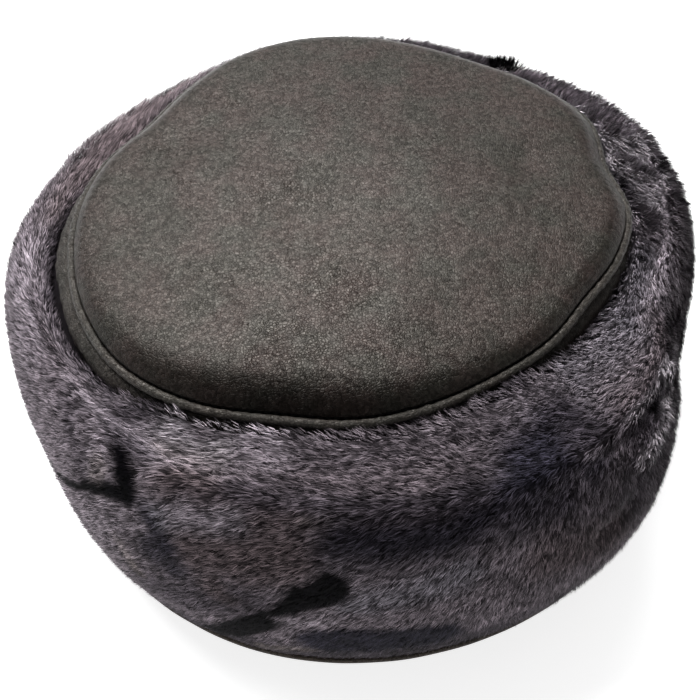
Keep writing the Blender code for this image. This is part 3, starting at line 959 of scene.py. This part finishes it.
def comb(angle, along):
    """The hair's lean in degrees, its length in millimetres and its rise in degrees."""
    sums = np.zeros((4,) + np.shape(along))
    for row in COMB:
        here_1 = apart(angle, row.angle) * MM_A_DEGREE
        here_2 = (along - row.along) * SECTION_LENGTH
        weight = np.exp(-(here_1 ** 2 + here_2 ** 2) / (2 * COMB_REACH ** 2)) + 1e-9
        sums += np.stack([weight, weight * row.turn, weight * row.pile, weight * row.lift])
    turn, pile, lift = sums[1:] / sums[0]
    meets = by_the_crown(angle, along)
    near = smooth_step(along, 0.88, 1.0) * (1 - meets)
    return turn, pile * (1 - 0.3 * near + 0.10 * meets), lift + (STANDING - lift) * meets


STANDING_SHARE = 0.95


def skin_depth(angle, along):
    """The skin lies as deep as the hair over it stands high, and rises by the crown."""
    _, pile, lift = comb(angle, along)
    meets = by_the_crown(angle, along)
    return STANDING_SHARE * pile * np.sin(np.radians(lift)) * (1 - meets) - CROWN_RISE * meets


# %% [markdown]
# ## The dye, with painted light and shade
# The finished fur is printed in soft blotches, as a camouflage cloth is: light purple-grey,
# brown-grey, blue-grey and black. The print lies on the surface of the fur, so it is worked out
# for places on the roll's outline, and every part of a hair takes the colour of the place that
# it has come to. The blotches are short rows, each a blunt line from one place on the band to
# another, and later rows lie over earlier ones. Some rows are not print but painted light: light
# rows on the fold ridges and along the back of the roll are painted highlights, and dark rows by
# the crown, in the hollows and just above the hem are painted shade.

# %% The colours and blotches
DYES_AND_PAINTED_LIGHT = {
    "pale": (0.400, 0.365, 0.395),
    "frost_painted_highlight": (0.56, 0.51, 0.55),
    "silver": (0.240, 0.208, 0.234),
    "mauve": (0.138, 0.117, 0.132),
    "brown": (0.088, 0.067, 0.070),
    "tan": (0.175, 0.148, 0.136),
    "slate": (0.138, 0.130, 0.150),
    "dusk": (0.046, 0.039, 0.047),
    "navy": (0.020, 0.0185, 0.0275),
    "black": (0.0015, 0.0012, 0.0020),
}

# Reach is how far the colour goes from the line, edge how soft its border is, both in
# millimetres, and amount how much it covers
Blotch = namedtuple("Blotch", "dye angle_1 along_1 angle_2 along_2 reach edge amount")
BLOTCHES_AND_PAINTED_LIGHT = (
    Blotch("silver", 186, 0.72, 200, 0.68, 13, 10, 0.9),
    Blotch("brown", 125, 0.84, 172, 0.94, 12, 9, 0.8),
    Blotch("silver", 200, 0.50, 228, 0.66, 12, 10, 0.4),
    Blotch("silver", 232, 0.84, 254, 0.94, 10, 6, 1.0),
    Blotch("silver", 344, 0.82, 390, 0.84, 15, 10, 0.85),
    Blotch("tan", 238, 0.87, 247, 0.90, 4, 3, 0.4),
    Blotch("dusk", 221, 0.67, 225, 0.62, 4, 3, 0.55),
    Blotch("brown", 244, 0.77, 286, 0.77, 11, 8, 0.85),
    Blotch("dusk", 244, 0.73, 254, 0.745, 4, 4, 0.5),
    Blotch("tan", 262.5, 0.73, 268.5, 0.74, 2.5, 2, 0.5),
    Blotch("slate", 241, 0.62, 252, 0.67, 4.5, 3, 0.9),
    Blotch("silver", 229, 0.52, 237, 0.58, 6, 4, 0.5),
    Blotch("dusk", 238, 0.30, 254, 0.44, 10, 7, 0.8),
    Blotch("dusk", 240, 0.08, 290, 0.10, 10, 6, 0.85),
    Blotch("brown", 247, 0.58, 261, 0.61, 8, 5, 0.85),
    Blotch("brown", 249, 0.48, 251, 0.44, 4, 3, 0.7),
    Blotch("tan", 233.5, 0.46, 236, 0.36, 3, 2, 0.6),
    Blotch("navy", 267, 0.66, 284, 0.67, 8, 7, 0.75),
    Blotch("navy", 287, 0.70, 300, 0.68, 8, 7, 0.75),
    Blotch("dusk", 264, 0.765, 284, 0.765, 6, 5, 0.6),
    Blotch("navy", 302.5, 0.85, 306.5, 0.72, 7, 6, 0.75),
    Blotch("dusk", 306, 0.50, 324, 0.62, 14, 10, 0.75),
    Blotch("dusk", 285, 0.82, 294, 0.84, 6, 5, 0.6),
    Blotch("dusk", 318, 0.70, 338, 0.66, 9, 8, 0.7),
    Blotch("brown", 297, 0.53, 309, 0.46, 8, 6, 0.7),
    Blotch("slate", 269, 0.47, 285, 0.54, 5, 4, 0.7),
    Blotch("silver", 258, 0.35, 265.5, 0.39, 3.5, 2.5, 0.7),
    Blotch("tan", 254.5, 0.09, 262.5, 0.14, 3, 2, 0.5),
    Blotch("dusk", 283, 0.12, 305, 0.22, 10, 7, 0.6),
    Blotch("silver", 300, 0.98, 335, 0.92, 7, 6, 0.5),
    # The next three rows are painted shadow in the hollow of the fur at the front right
    Blotch("navy", 296, 0.83, 307, 0.85, 8, 5, 0.95),
    Blotch("navy", 287, 0.76, 297, 0.80, 7, 5, 0.9),
    Blotch("dusk", 307, 0.84, 316, 0.78, 8, 6, 0.8),
    Blotch("dusk", 252, 0.81, 287, 0.79, 7, 5, 0.85),
    Blotch("dusk", 226, 0.86, 235, 1.00, 5, 4, 0.85),
    Blotch("dusk", 218, 0.72, 226, 0.82, 6, 5, 0.5),
    Blotch("silver", 244, 0.66, 252, 0.69, 4.5, 4, 0.8),
    Blotch("navy", 269, 0.68, 281, 0.66, 6, 5, 0.6),
    Blotch("silver", 5, 0.82, 78, 0.84, 12, 11, 0.75),
    # The next row is a painted highlight along the back of the roll, for light shining through the hair
    # tips
    Blotch("pale", 8, 0.93, 76, 0.94, 9, 8, 0.9),
    # The next two rows are painted shade along the fur's inner edge by the crown, on the left
    Blotch("dusk", 168, 1.00, 215, 1.00, 7, 6, 0.9),
    Blotch("dusk", 196, 0.96, 224, 0.97, 6, 5, 0.75),
    Blotch("silver", 217, 0.83, 226, 0.84, 6, 5, 0.6),
    # The next row is a painted highlight on the top of the roll at the front left
    Blotch("pale", 238, 0.93, 247, 0.93, 5, 4, 0.5),
    # The next row is painted shade along the fur's inner edge under the cord, at the front right
    Blotch("dusk", 295, 1.0, 304, 0.99, 4, 3, 0.8),
    Blotch("brown", 318, 0.87, 336, 0.81, 8, 6, 0.5),
    Blotch("dusk", 230, 0.82, 236, 0.80, 5, 4, 0.7),
    # The next three rows are painted shade just above the hem
    Blotch("dusk", 238, 0.05, 247, 0.08, 6, 5, 0.8),
    Blotch("dusk", 232, 0.15, 238, 0.10, 6, 5, 0.6),
    Blotch("dusk", 288, 0.07, 320, 0.14, 8, 6, 0.6),
    Blotch("silver", 212, 0.36, 230, 0.44, 9, 7, 0.5),
    Blotch("mauve", 352, 0.66, 372, 0.72, 9, 8, 0.7),
    Blotch("silver", 16, 0.80, 32, 0.77, 10, 8, 0.8),
    # The next row is a painted highlight on the roll at the back right
    Blotch("pale", 18, 0.84, 34, 0.82, 9, 8, 0.8),
    # The next four rows are painted highlights along the ridges of the folds at the right
    Blotch("pale", 341, 0.59, 327.5, 0.735, 2.2, 1.6, 0.85),
    Blotch("pale", 327.5, 0.735, 316, 0.79, 1.8, 1.4, 0.6),
    Blotch("silver", 318.5, 0.80, 306, 0.79, 2.4, 1.8, 0.45),
    Blotch("frost_painted_highlight", 329, 0.655, 315, 0.635, 1.6, 1.2, 0.8),
    Blotch("slate", 314, 0.94, 332, 0.90, 6, 5, 0.5),
    Blotch("slate", 334, 0.93, 352, 0.92, 7, 6, 0.6),
    # The next row is painted shadow between the crown and the fur at the back right
    Blotch("dusk", 6, 0.99, 34, 0.99, 5, 3.5, 0.85),
    Blotch("navy", 265.5, 0.235, 281, 0.23, 11, 3, 1.0),
    # The next row is painted shade in the hollow of the fold at the back right
    Blotch("dusk", 17, 0.97, 10, 0.93, 4, 3, 0.7),
    Blotch("brown", 40, 0.50, 75, 0.62, 14, 9, 0.8),
    Blotch("slate", 85, 0.40, 110, 0.45, 12, 8, 0.8),
    Blotch("dusk", 118, 0.62, 138, 0.50, 9, 6, 0.9),
    Blotch("brown", 150, 0.40, 172, 0.45, 11, 8, 0.8),
    Blotch("slate", 10, 0.35, 28, 0.30, 10, 7, 0.7),
    Blotch("black", 97, 0.60, 101, 0.575, 4.2, 1.6, 1.0),
    Blotch("black", 101, 0.57, 106, 0.49, 2.6, 1.2, 1.0),
    Blotch("black", 91, 0.65, 95, 0.62, 2.0, 1.4, 0.9),
    Blotch("black", 160, 0.60, 157, 0.52, 3.6, 1.5, 1.0),
    Blotch("black", 157, 0.50, 150, 0.46, 2.2, 1.2, 1.0),
    Blotch("black", 53, 0.36, 58, 0.335, 4.0, 1.5, 1.0),
    Blotch("black", 59, 0.34, 62, 0.43, 2.2, 1.2, 1.0),
    Blotch("black", 349, 0.31, 352, 0.34, 3.6, 1.5, 1.0),
    Blotch("black", 353, 0.35, 358, 0.43, 2.0, 1.2, 0.9),
    Blotch("navy", 238, 0.635, 239.5, 0.60, 2.2, 1.8, 0.45),
    Blotch("navy", 239.5, 0.60, 243, 0.55, 2.8, 2.2, 0.8),
    Blotch("navy", 240, 0.52, 243.5, 0.50, 5, 3.5, 0.8),
    Blotch("silver", 228.5, 0.68, 228.8, 0.60, 5.0, 2, 0.6),
    Blotch("tan", 229, 0.65, 229.3, 0.61, 4.0, 2, 0.45),
    Blotch("dusk", 230, 0.775, 233, 0.765, 5, 4, 0.8),
    Blotch("black", 232.6, 0.73, 234.5, 0.69, 4.8, 1.6, 1.0),
    Blotch("black", 234.2, 0.68, 235.3, 0.65, 4.6, 0.9, 1.0),
    Blotch("black", 231.5, 0.61, 235.5, 0.63, 2.8, 0.8, 1.0),
    Blotch("black", 226.5, 0.56, 232, 0.605, 1.8, 0.8, 1.0),
    Blotch("black", 211.5, 0.385, 226, 0.545, 1.6, 0.8, 1.0),
    Blotch("black", 262, 0.485, 266.5, 0.53, 5.4, 0.9, 1.0),
    Blotch("black", 260, 0.45, 262, 0.48, 4.2, 0.9, 1.0),
    Blotch("black", 256.5, 0.40, 260.5, 0.43, 1.9, 0.8, 1.0),
    Blotch("black", 251, 0.22, 256, 0.34, 6.0, 1.2, 1.0),
    Blotch("black", 246, 0.09, 250.5, 0.19, 5.0, 1.4, 1.0),
    # The next row is a painted highlight along the back of the roll, for light shining through the hair
    # tips
    Blotch("frost_painted_highlight", 18, 0.93, 54, 0.93, 6, 5.5, 0.7),
    Blotch("black", 55.8, 0.75, 58, 0.94, 3.8, 1.0, 1.0),
    Blotch("black", 17.5, 0.75, 20.5, 0.74, 2.2, 1.4, 0.9),
)


def dye(angle, along):
    """The colour of the hair at places on the band, print with painted light and shade, with an alpha of
    1.
    """
    spot = place(angle, *roll_outline(angle, along))
    fray = 0.8 * waves(spot, 9, 41) + 0.5 * waves(spot, 4, 42)
    colour = np.broadcast_to(DYES_AND_PAINTED_LIGHT["mauve"], angle.shape + (3,)).copy()
    for row in BLOTCHES_AND_PAINTED_LIGHT:
        aside, past = off_line(angle, along, row)
        away = np.hypot(aside, past) + fray * min(1.0, row.edge / 2)
        cover = row.amount * (1 - smooth_step(away, row.reach - row.edge, row.reach + row.edge))
        colour += (np.array(DYES_AND_PAINTED_LIGHT[row.dye]) - colour) * cover[..., None]
    uneven = 1 + 0.14 * waves(spot, 24, 43) + 0.17 * waves(spot, 7, 44)
    return np.concatenate([colour * uneven[..., None], np.ones(angle.shape + (1,))], -1)


# %% The skin under the hair
angle = np.linspace(0, 360, 360, endpoint=False)
alongs = np.linspace(0, 1, 60)
across, up = np.meshgrid(angle, alongs)
skin_rings = fur_place(across, up, skin_depth(across, up))

WALL_GAP = 0.5
BACK_HEIGHTS = (TUCK_HEIGHT, 66.0, 50.0, 30.0, FOOT)


def wall_outside(angle, height):
    """Radius of the wall's outer face at a height below its ridge."""
    heights, shares = zip(*(row[:2] for row in SIDE_SECTION))
    return wall_base(angle, np.interp(height, heights, shares)) + LEATHER


wall_side = [place(angle, wall_outside(angle, height) + WALL_GAP, height) for height in BACK_HEIGHTS]
fur_backing = ring_mesh("fur_skin", list(skin_rings) + wall_side)

# %% [markdown]
# ## The hair finish
# Each hair is dark at its root, where no light reaches, and lighter towards its tip. Its colour
# comes from the dye painted on the skin nearest to it, with the painted light and shade that the
# dye carries, and each hair and each tuft is a little lighter or darker than the next. A flat leaf
# lit by its own face glitters, so the face's direction is blended with that of the skin below, as
# a round hair would do.

# %% The fur finish
def fur(name):
    """The finish of a hair, dark at the root, with its dye and its own light and shade."""
    finish, tree, shader = new_finish(name)
    reach = attribute(tree, "reach")
    tone = node(tree, "ShaderNodeMapRange", reach, 0.0, 0.9, 0.30, 1.22)
    each = node(tree, "ShaderNodeMapRange", attribute(tree, "tint"), 0.0, 1.0, 0.25, 1.75)
    tuft = node(tree, "ShaderNodeMapRange", attribute(tree, "tuft_tint"), 0.0, 1.0, 0.20, 2.10)
    shade = maths(tree, "MULTIPLY", maths(tree, "MULTIPLY", tone, each), tuft)
    grey = node(tree, "ShaderNodeCombineColor", shade, shade, shade)
    dyed = mix_colour(tree, 1.0, attribute(tree, "dye", "Color"), grey, "MULTIPLY")
    tree.links.new(dyed, shader.inputs["Base Color"])
    shader.inputs["Roughness"].default_value = 0.6
    shader.inputs["Specular IOR Level"].default_value = 0.04
    own = tree.nodes.new("ShaderNodeNewGeometry").outputs["Normal"]
    blend = node(tree, "ShaderNodeMix", 0.55, own, attribute(tree, "skin_normal", "Vector"),
                 data_type="VECTOR")
    level = node(tree, "ShaderNodeVectorMath", blend, operation="NORMALIZE")
    tree.links.new(level, shader.inputs["Normal"])
    return finish


hair_finish = fur("dyed_fur")
skin_finish, skin_tree, skin_shader = plain("fur_skin", (0.02, 0.018, 0.02), 0.9)
# The skin takes the dye darkened towards black: painted shade deep under the hair
skin_dye_in_painted_shade = mix_colour(skin_tree, 0.45, (0.008, 0.007, 0.008, 1), attribute(skin_tree, "dye", "Color"))
skin_tree.links.new(skin_dye_in_painted_shade, skin_shader.inputs["Base Color"])
skin_shader.inputs["Specular IOR Level"].default_value = 0.05

skin_angle = np.concatenate([across.ravel(), np.tile(angle, len(wall_side))])
skin_along = np.concatenate([up.ravel(), np.zeros(len(wall_side) * len(angle))])
paint(fur_backing.data, "dye", dye(skin_angle, skin_along), "FLOAT_COLOR")
fur_backing.data.materials.append(skin_finish)

# %% [markdown]
# ## One hair
# A hair can't be a tube of its own here, because the roll has more than three hundred thousand of
# them. Each is a leaf of two triangles, bent once in the middle: it starts up from the skin and
# then lies over. It is drawn about one unit long, wide and high, along +X and up +Z, and scaled
# later. Its map keeps the dark lower triangles and the light upper ones in two halves of a picture.

# %% The leaf
LEAF_POINTS = ((0, 0, 0), (0.30, -0.5, 0.42), (0.30, 0.5, 0.42), (0.80, 0, 0.58))
LEAF_REACH = (0.0, 0.5, 0.5, 1.0)
UPPER_HALF = 0.5


def make_leaf():
    """A leaf with its reach from root to tip, and a map a dot wide for each of its triangles."""
    mesh = bpy.data.meshes.new("leaf")
    mesh.from_pydata(LEAF_POINTS, [], [(0, 1, 2), (1, 3, 2)])
    paint(mesh, "reach", LEAF_REACH)
    leaf_map = mesh.attributes.new("leaf", "FLOAT2", "CORNER")
    dot = 0.0011
    lower = (0, -dot, dot, dot, -dot, dot)
    upper = (-dot, UPPER_HALF - dot, 0, UPPER_HALF + dot, dot, UPPER_HALF - dot)
    leaf_map.data.foreach_set("vector", lower + upper)
    return add_object("leaf", mesh)


leaf = make_leaf()

# %% [markdown]
# ## A tree that grows fur
# Hair particles would grow here too, but a node tree shows every step and can be tried again
# with other numbers. It scatters hairs and, far fewer, tufts. Each hair turns its leaf along the
# comb, with a twist for its tuft and one of its own, and then leans its tip towards the middle
# of its tuft. That is what makes clipped fur look like small tufts and not like velvet.

# %% The fur tree
FLAT_STRETCH = 1.25
HIGH_STRETCH = 1.70
FRIZZ_WIDTH = 2.6
FLOOR_GAP = 0.4


def strand_tree():
    """Grows tufted hair on a skin that carries its comb and its dye."""
    inputs = (("Skin", "Geometry"), ("Hairs", "Float"), ("Tufts", "Float"), ("Seed", "Int"),
              ("Width", "Float"), ("Gather", "Float"), ("Tuft_twist", "Float"), ("Hair_twist", "Float"),
              ("Frizz", "Float"), ("Leaf", "Object"), ("Finish", "Material"))
    tree, given = new_tree("grow_fur", inputs, "Fur")

    def store(geometry, name, value, kind="FLOAT_VECTOR", domain="POINT"):
        return node(tree, "GeometryNodeStoreNamedAttribute", geometry, None, name, value,
                    data_type=kind, domain=domain)

    def stored(name, kind="FLOAT_VECTOR"):
        return node(tree, "GeometryNodeInputNamedAttribute", name, data_type=kind)

    def scatter(density, seed):
        made = tree.nodes.new("GeometryNodeDistributePointsOnFaces")
        tree.links.new(given["Skin"], made.inputs["Mesh"])
        tree.links.new(density, made.inputs["Density"])
        tree.links.new(seed, made.inputs["Seed"])
        return made.outputs["Points"], made.outputs["Normal"]

    def dice(low, high, more, index=None):
        seed = maths(tree, "ADD", given["Seed"], more)
        return node(tree, "FunctionNodeRandomValue", low, high, index, seed, data_type="FLOAT")

    def vectors(operation, *values):
        return node(tree, "ShaderNodeVectorMath", *values, operation=operation)

    # Where the hairs stand, and which tuft each belongs to
    hairs, normal = scatter(given["Hairs"], given["Seed"])
    tufts, _ = scatter(given["Tufts"], maths(tree, "ADD", given["Seed"], 100))
    here = node(tree, "GeometryNodeInputPosition")
    nearest = node(tree, "GeometryNodeSampleNearest", tufts, here)
    middle = node(tree, "GeometryNodeSampleIndex", tufts, here, nearest, data_type="FLOAT_VECTOR")
    hairs = store(hairs, "pull", vectors("SUBTRACT", middle, here))
    hairs = store(hairs, "skin_normal", normal)
    hairs = store(hairs, "tint", dice(0.0, 1.0, 1), "FLOAT")
    hairs = store(hairs, "tuft_tint", dice(0.0, 1.0, 2, nearest), "FLOAT")
    hairs = store(hairs, "tuft_turn", dice(-1.0, 1.0, 3, nearest), "FLOAT")
    hairs = store(hairs, "tuft_lift", dice(0.8, 1.2, 4, nearest), "FLOAT")

    # A leaf on each, turned along the comb
    lean = node(tree, "FunctionNodeAxesToRotation", stored("skin_normal"), stored("lay"),
                primary_axis="Z", secondary_axis="X")
    tuft_turn = maths(tree, "MULTIPLY", stored("tuft_turn", "FLOAT"), given["Tuft_twist"])
    turn = maths(tree, "MULTIPLY_ADD", dice(-1.0, 1.0, 5), given["Hair_twist"], tuft_turn)
    twist = node(tree, "FunctionNodeAxisAngleToRotation", (0, 0, 1), turn)
    turned = node(tree, "FunctionNodeRotateRotation", lean, twist, rotation_space="LOCAL")
    length = maths(tree, "MULTIPLY", stored("pile", "FLOAT"), dice(0.80, 1.12, 6))
    lift = maths(tree, "MULTIPLY", stored("lift", "FLOAT"), stored("tuft_lift", "FLOAT"))
    lift = maths(tree, "MULTIPLY", lift, dice(0.8, 1.2, 7))
    flat = maths(tree, "MULTIPLY", length, FLAT_STRETCH)
    flat = maths(tree, "MULTIPLY", maths(tree, "COSINE", lift), flat)
    high = maths(tree, "MULTIPLY", length, HIGH_STRETCH)
    high = maths(tree, "MULTIPLY", maths(tree, "SINE", lift), high)
    size = node(tree, "ShaderNodeCombineXYZ", flat, given["Width"], high)
    leaf_info = tree.nodes.new("GeometryNodeObjectInfo")
    tree.links.new(given["Leaf"], leaf_info.inputs["Object"])
    grown = node(tree, "GeometryNodeInstanceOnPoints", hairs, None, leaf_info.outputs["Geometry"],
                 None, None, turned, size)
    grown = node(tree, "GeometryNodeRealizeInstances", grown)

    # The tips lean into their tuft and wander a little, and none goes below the floor
    reach = stored("reach", "FLOAT")
    bend = maths(tree, "MULTIPLY", maths(tree, "POWER", reach, 1.5), given["Gather"])
    gathered = node(tree, "ShaderNodeVectorMath", stored("pull"), operation="SCALE")
    tree.links.new(bend, gathered.node.inputs["Scale"])
    wander = tree.nodes.new("ShaderNodeTexNoise")
    wander.inputs["Scale"].default_value = 1 / (FRIZZ_WIDTH * MM)
    tree.links.new(here, wander.inputs["Vector"])
    centred = vectors("SUBTRACT", wander.outputs["Color"], (0.5, 0.5, 0.5))
    frizz = node(tree, "ShaderNodeVectorMath", centred, operation="SCALE")
    tree.links.new(maths(tree, "MULTIPLY", reach, given["Frizz"]), frizz.node.inputs["Scale"])
    grown = node(tree, "GeometryNodeSetPosition", grown, None, None, vectors("ADD", gathered, frizz))
    above = vectors("MAXIMUM", here, (-1.0, -1.0, FLOOR_GAP * MM))
    grown = node(tree, "GeometryNodeSetPosition", grown, None, above)

    # The print, with its painted light and shade, from the skin that lies nearest to each point
    found = tree.nodes.new("GeometryNodeSampleNearestSurface")
    found.data_type = "FLOAT_COLOR"
    tree.links.new(given["Skin"], found.inputs["Mesh"])
    tree.links.new(stored("dye", "FLOAT_COLOR"), found.inputs["Value"])
    tree.links.new(here, found.inputs["Sample Position"])
    grown = store(grown, "dye", found.outputs["Value"], "FLOAT_COLOR")

    # Each leaf keeps its own place in a picture, and what only the tree needed is taken away
    in_picture = vectors("ADD", stored("place"), stored("leaf"))
    grown = store(grown, "OFBake", in_picture, "FLOAT2", "CORNER")
    for name in ("pull", "lay", "pile", "lift", "place", "leaf", "tuft_turn", "tuft_lift"):
        grown = node(tree, "GeometryNodeRemoveAttribute", grown, name)
    grown = node(tree, "GeometryNodeSetMaterial", grown, None, given["Finish"])
    tree.links.new(grown, tree.nodes.new("NodeGroupOutput").inputs[0])
    return tree


# %% [markdown]
# ## Four quarters of fur
# One piece may have 200,000 triangles, and this roll needs more to close, so it grows in four
# quarters. Each quarter starts as a sheet that lies on the skin and carries what a hair asks for:
# its colour, its lean, its length, how steeply it stands, and its place in a picture.

# %% The quarters
QUARTERS = {"fur_front_left": (190, 270), "fur_front_right": (270, 350),
            "fur_back_right": (-10, 90), "fur_back_left": (90, 190)}
COLUMNS_A_DEGREE = 2.4
SHEET_ROWS = 130
SHEET_FOOT = 0.004
MAP_EDGE = 0.01
ANGLE_STEP = 0.2
ALONG_STEP = 0.002


def lay_direction(angle, along, deep, turn):
    """The direction of the comb on the band as vectors, turn degrees from straight up."""
    here = fur_place(angle, along, deep)
    aside = fur_place(angle + ANGLE_STEP, along, deep) - here
    above = fur_place(angle, np.minimum(along + ALONG_STEP, 1.0), deep)
    upward = above - fur_place(angle, np.maximum(along - ALONG_STEP, 0.0), deep)
    aside /= np.linalg.norm(aside, axis=-1, keepdims=True)
    upward /= np.linalg.norm(upward, axis=-1, keepdims=True)
    turn = np.radians(turn)[..., None]
    return upward * np.cos(turn) + aside * np.sin(turn)


def fur_sheet(name, start, end):
    """The sheet that a quarter grows from, painted with what its hairs ask for."""
    columns = np.linspace(start, end, round((end - start) * COLUMNS_A_DEGREE) + 1)
    across, up = np.meshgrid(columns, np.linspace(SHEET_FOOT, 1.0, SHEET_ROWS))
    lean, pile, lift = comb(across, up)
    deep = skin_depth(across, up)
    spot = fur_place(across, up, deep)

    # Uneven lean and length, and shorter hair that doesn't hang down by the hem
    foot = smooth_step(up, 0.0, 0.10)
    lean = lean + 11 * waves(spot, 13, 51)
    lean = np.maximum(lean, -90) * (1 - foot) + lean * foot
    steep = lift + 3 * waves(spot, 11, 52)
    pile = pile * (0.62 + 0.38 * foot) * (1 + 0.10 * waves(spot, 9, 53))

    sheet = ring_mesh(name, spot, join_ends=False, open_side=True)
    in_map = (MAP_EDGE + (1 - 2 * MAP_EDGE) * (across - start) / (end - start),
              MAP_EDGE + (UPPER_HALF - 2 * MAP_EDGE) * up, 0 * up)
    paint(sheet.data, "dye", dye(across, up), "FLOAT_COLOR")
    paint(sheet.data, "lay", lay_direction(across, up, deep, lean), "FLOAT_VECTOR")
    paint(sheet.data, "pile", pile * MM)
    paint(sheet.data, "lift", np.radians(steep))
    paint(sheet.data, "place", np.stack(in_map, -1), "FLOAT_VECTOR")
    return sheet


# %% Growing the fur
# Hairs and tufts are numbers in a square metre, and the twists are in radians
HAIRS = 4.6e6
TUFTS = 1.0e6
HAIR_WIDTH = 0.255
FRIZZ = 1.0
GATHER = 0.52
TUFT_TWIST = 0.30
HAIR_TWIST = 0.22

fur_tree = strand_tree()
quarters = []
for number, (name, (start, end)) in enumerate(QUARTERS.items()):
    quarter = fur_sheet(name, start, end)
    run_tree(quarter, fur_tree, Hairs=HAIRS, Tufts=TUFTS, Seed=number * 10 + 1,
             Width=HAIR_WIDTH * MM, Gather=GATHER, Frizz=FRIZZ * MM, Tuft_twist=TUFT_TWIST,
             Hair_twist=HAIR_TWIST, Leaf=leaf, Finish=hair_finish)
    quarters.append(quarter)
bpy.data.objects.remove(leaf)

# %% [markdown]
# ## What each piece stands for
# All of it rides on the hat's one body, and each piece hides the plain solid that it stands for.
# The crown and the wall are leather sheets that are stretched over a form, and the roll is a soft pad.


PIECES = ((crown, "crown_top", "crown_leather"), (piping, "crown_piping", "piping_leather"),
          (stitches, "crown_piping", "piping_leather"),
          (wall, "crown_side", "side_leather"), (hem_edge, "hem_binding", "hem_leather"),
          *((fur_piece, "fur_band", "grey_fur") for fur_piece in (fur_backing, *quarters)))
for piece, solid, finish_slot in PIECES:
    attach(piece, "root")
    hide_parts(solid)

# %% [markdown]
# ## A place to photograph it
# A plain pale floor and one large soft light behind and above, as a window would be, with dim
# light from all round. The leather is dark, so nearly all that is seen of its colour is the
# window's broad reflection in its grain.

# %% The floor, lights and camera
FLOOR_REACH = 3
corners = [(x * FLOOR_REACH, y * FLOOR_REACH, 0) for x, y in ((-1, -1), (1, -1), (1, 1), (-1, 1))]
floor_mesh = bpy.data.meshes.new("floor")
floor_mesh.from_pydata(corners, [], [(0, 1, 2, 3)])
floor = add_object("floor", floor_mesh)
floor_finish, _, floor_shader = plain("pale_floor", (0.62, 0.62, 0.62), 0.8)
floor_shader.inputs["Emission Color"].default_value = (1.0, 1.0, 1.0, 1.0)
floor_shader.inputs["Emission Strength"].default_value = 0.82
floor_mesh.materials.append(floor_finish)


def aim(held, stand, target):
    """Puts a lamp or a camera at a stand, looking at a target, both in metres."""
    held.location = stand
    held.rotation_euler = (Vector(target) - Vector(stand)).to_track_quat("-Z", "Y").to_euler()


HAT_MIDDLE = (0, 0, 0.06)
lamp = bpy.data.lights.new("window", "AREA")
lamp.shape = "RECTANGLE"
lamp.size, lamp.size_y = 1.3, 0.9
lamp.energy = 42
aim(add_object("window", lamp), (-0.32, 0.52, 1.20), HAT_MIDDLE)

# The sky is bright overhead and towards the back and left, and dim in front and low down
SKY_BACK = 0.45
SKY_LEFT = 0.12
world = bpy.data.worlds.new("studio")
bpy.context.scene.world = world
world.use_nodes = True
sky = world.node_tree
way = node(sky, "ShaderNodeSeparateXYZ", sky.nodes.new("ShaderNodeTexCoord").outputs["Generated"])
behind = maths(sky, "MULTIPLY_ADD", way.node.outputs["Y"], SKY_BACK, way.node.outputs["Z"])
behind = maths(sky, "MULTIPLY_ADD", way, -SKY_LEFT, behind)
glow = node(sky, "ShaderNodeMapRange", behind, 0.5, 1.12, 0.08, 0.64)
sky.links.new(glow, sky.nodes["Background"].inputs["Strength"])
sky.nodes["Background"].inputs["Color"].default_value = (1.0, 1.0, 1.0, 1.0)

# The camera stands where the photo's did, half a metre off and 47 degrees above the floor
CAMERA_STAND = (-0.00175, -0.3762, 0.4436)
CAMERA_TARGET = (-0.00175, -0.01085, 0.0472)
lens = bpy.data.cameras.new("camera")
lens.lens = 78.66
lens.sensor_width = 36.0
camera = add_object("camera", lens)
aim(camera, CAMERA_STAND, CAMERA_TARGET)
bpy.context.scene.camera = camera
bpy.context.scene.view_settings.view_transform = "Standard"

# %% The size
print("triangles in all:", sum(triangle_count(piece.data) for piece, *_ in PIECES))
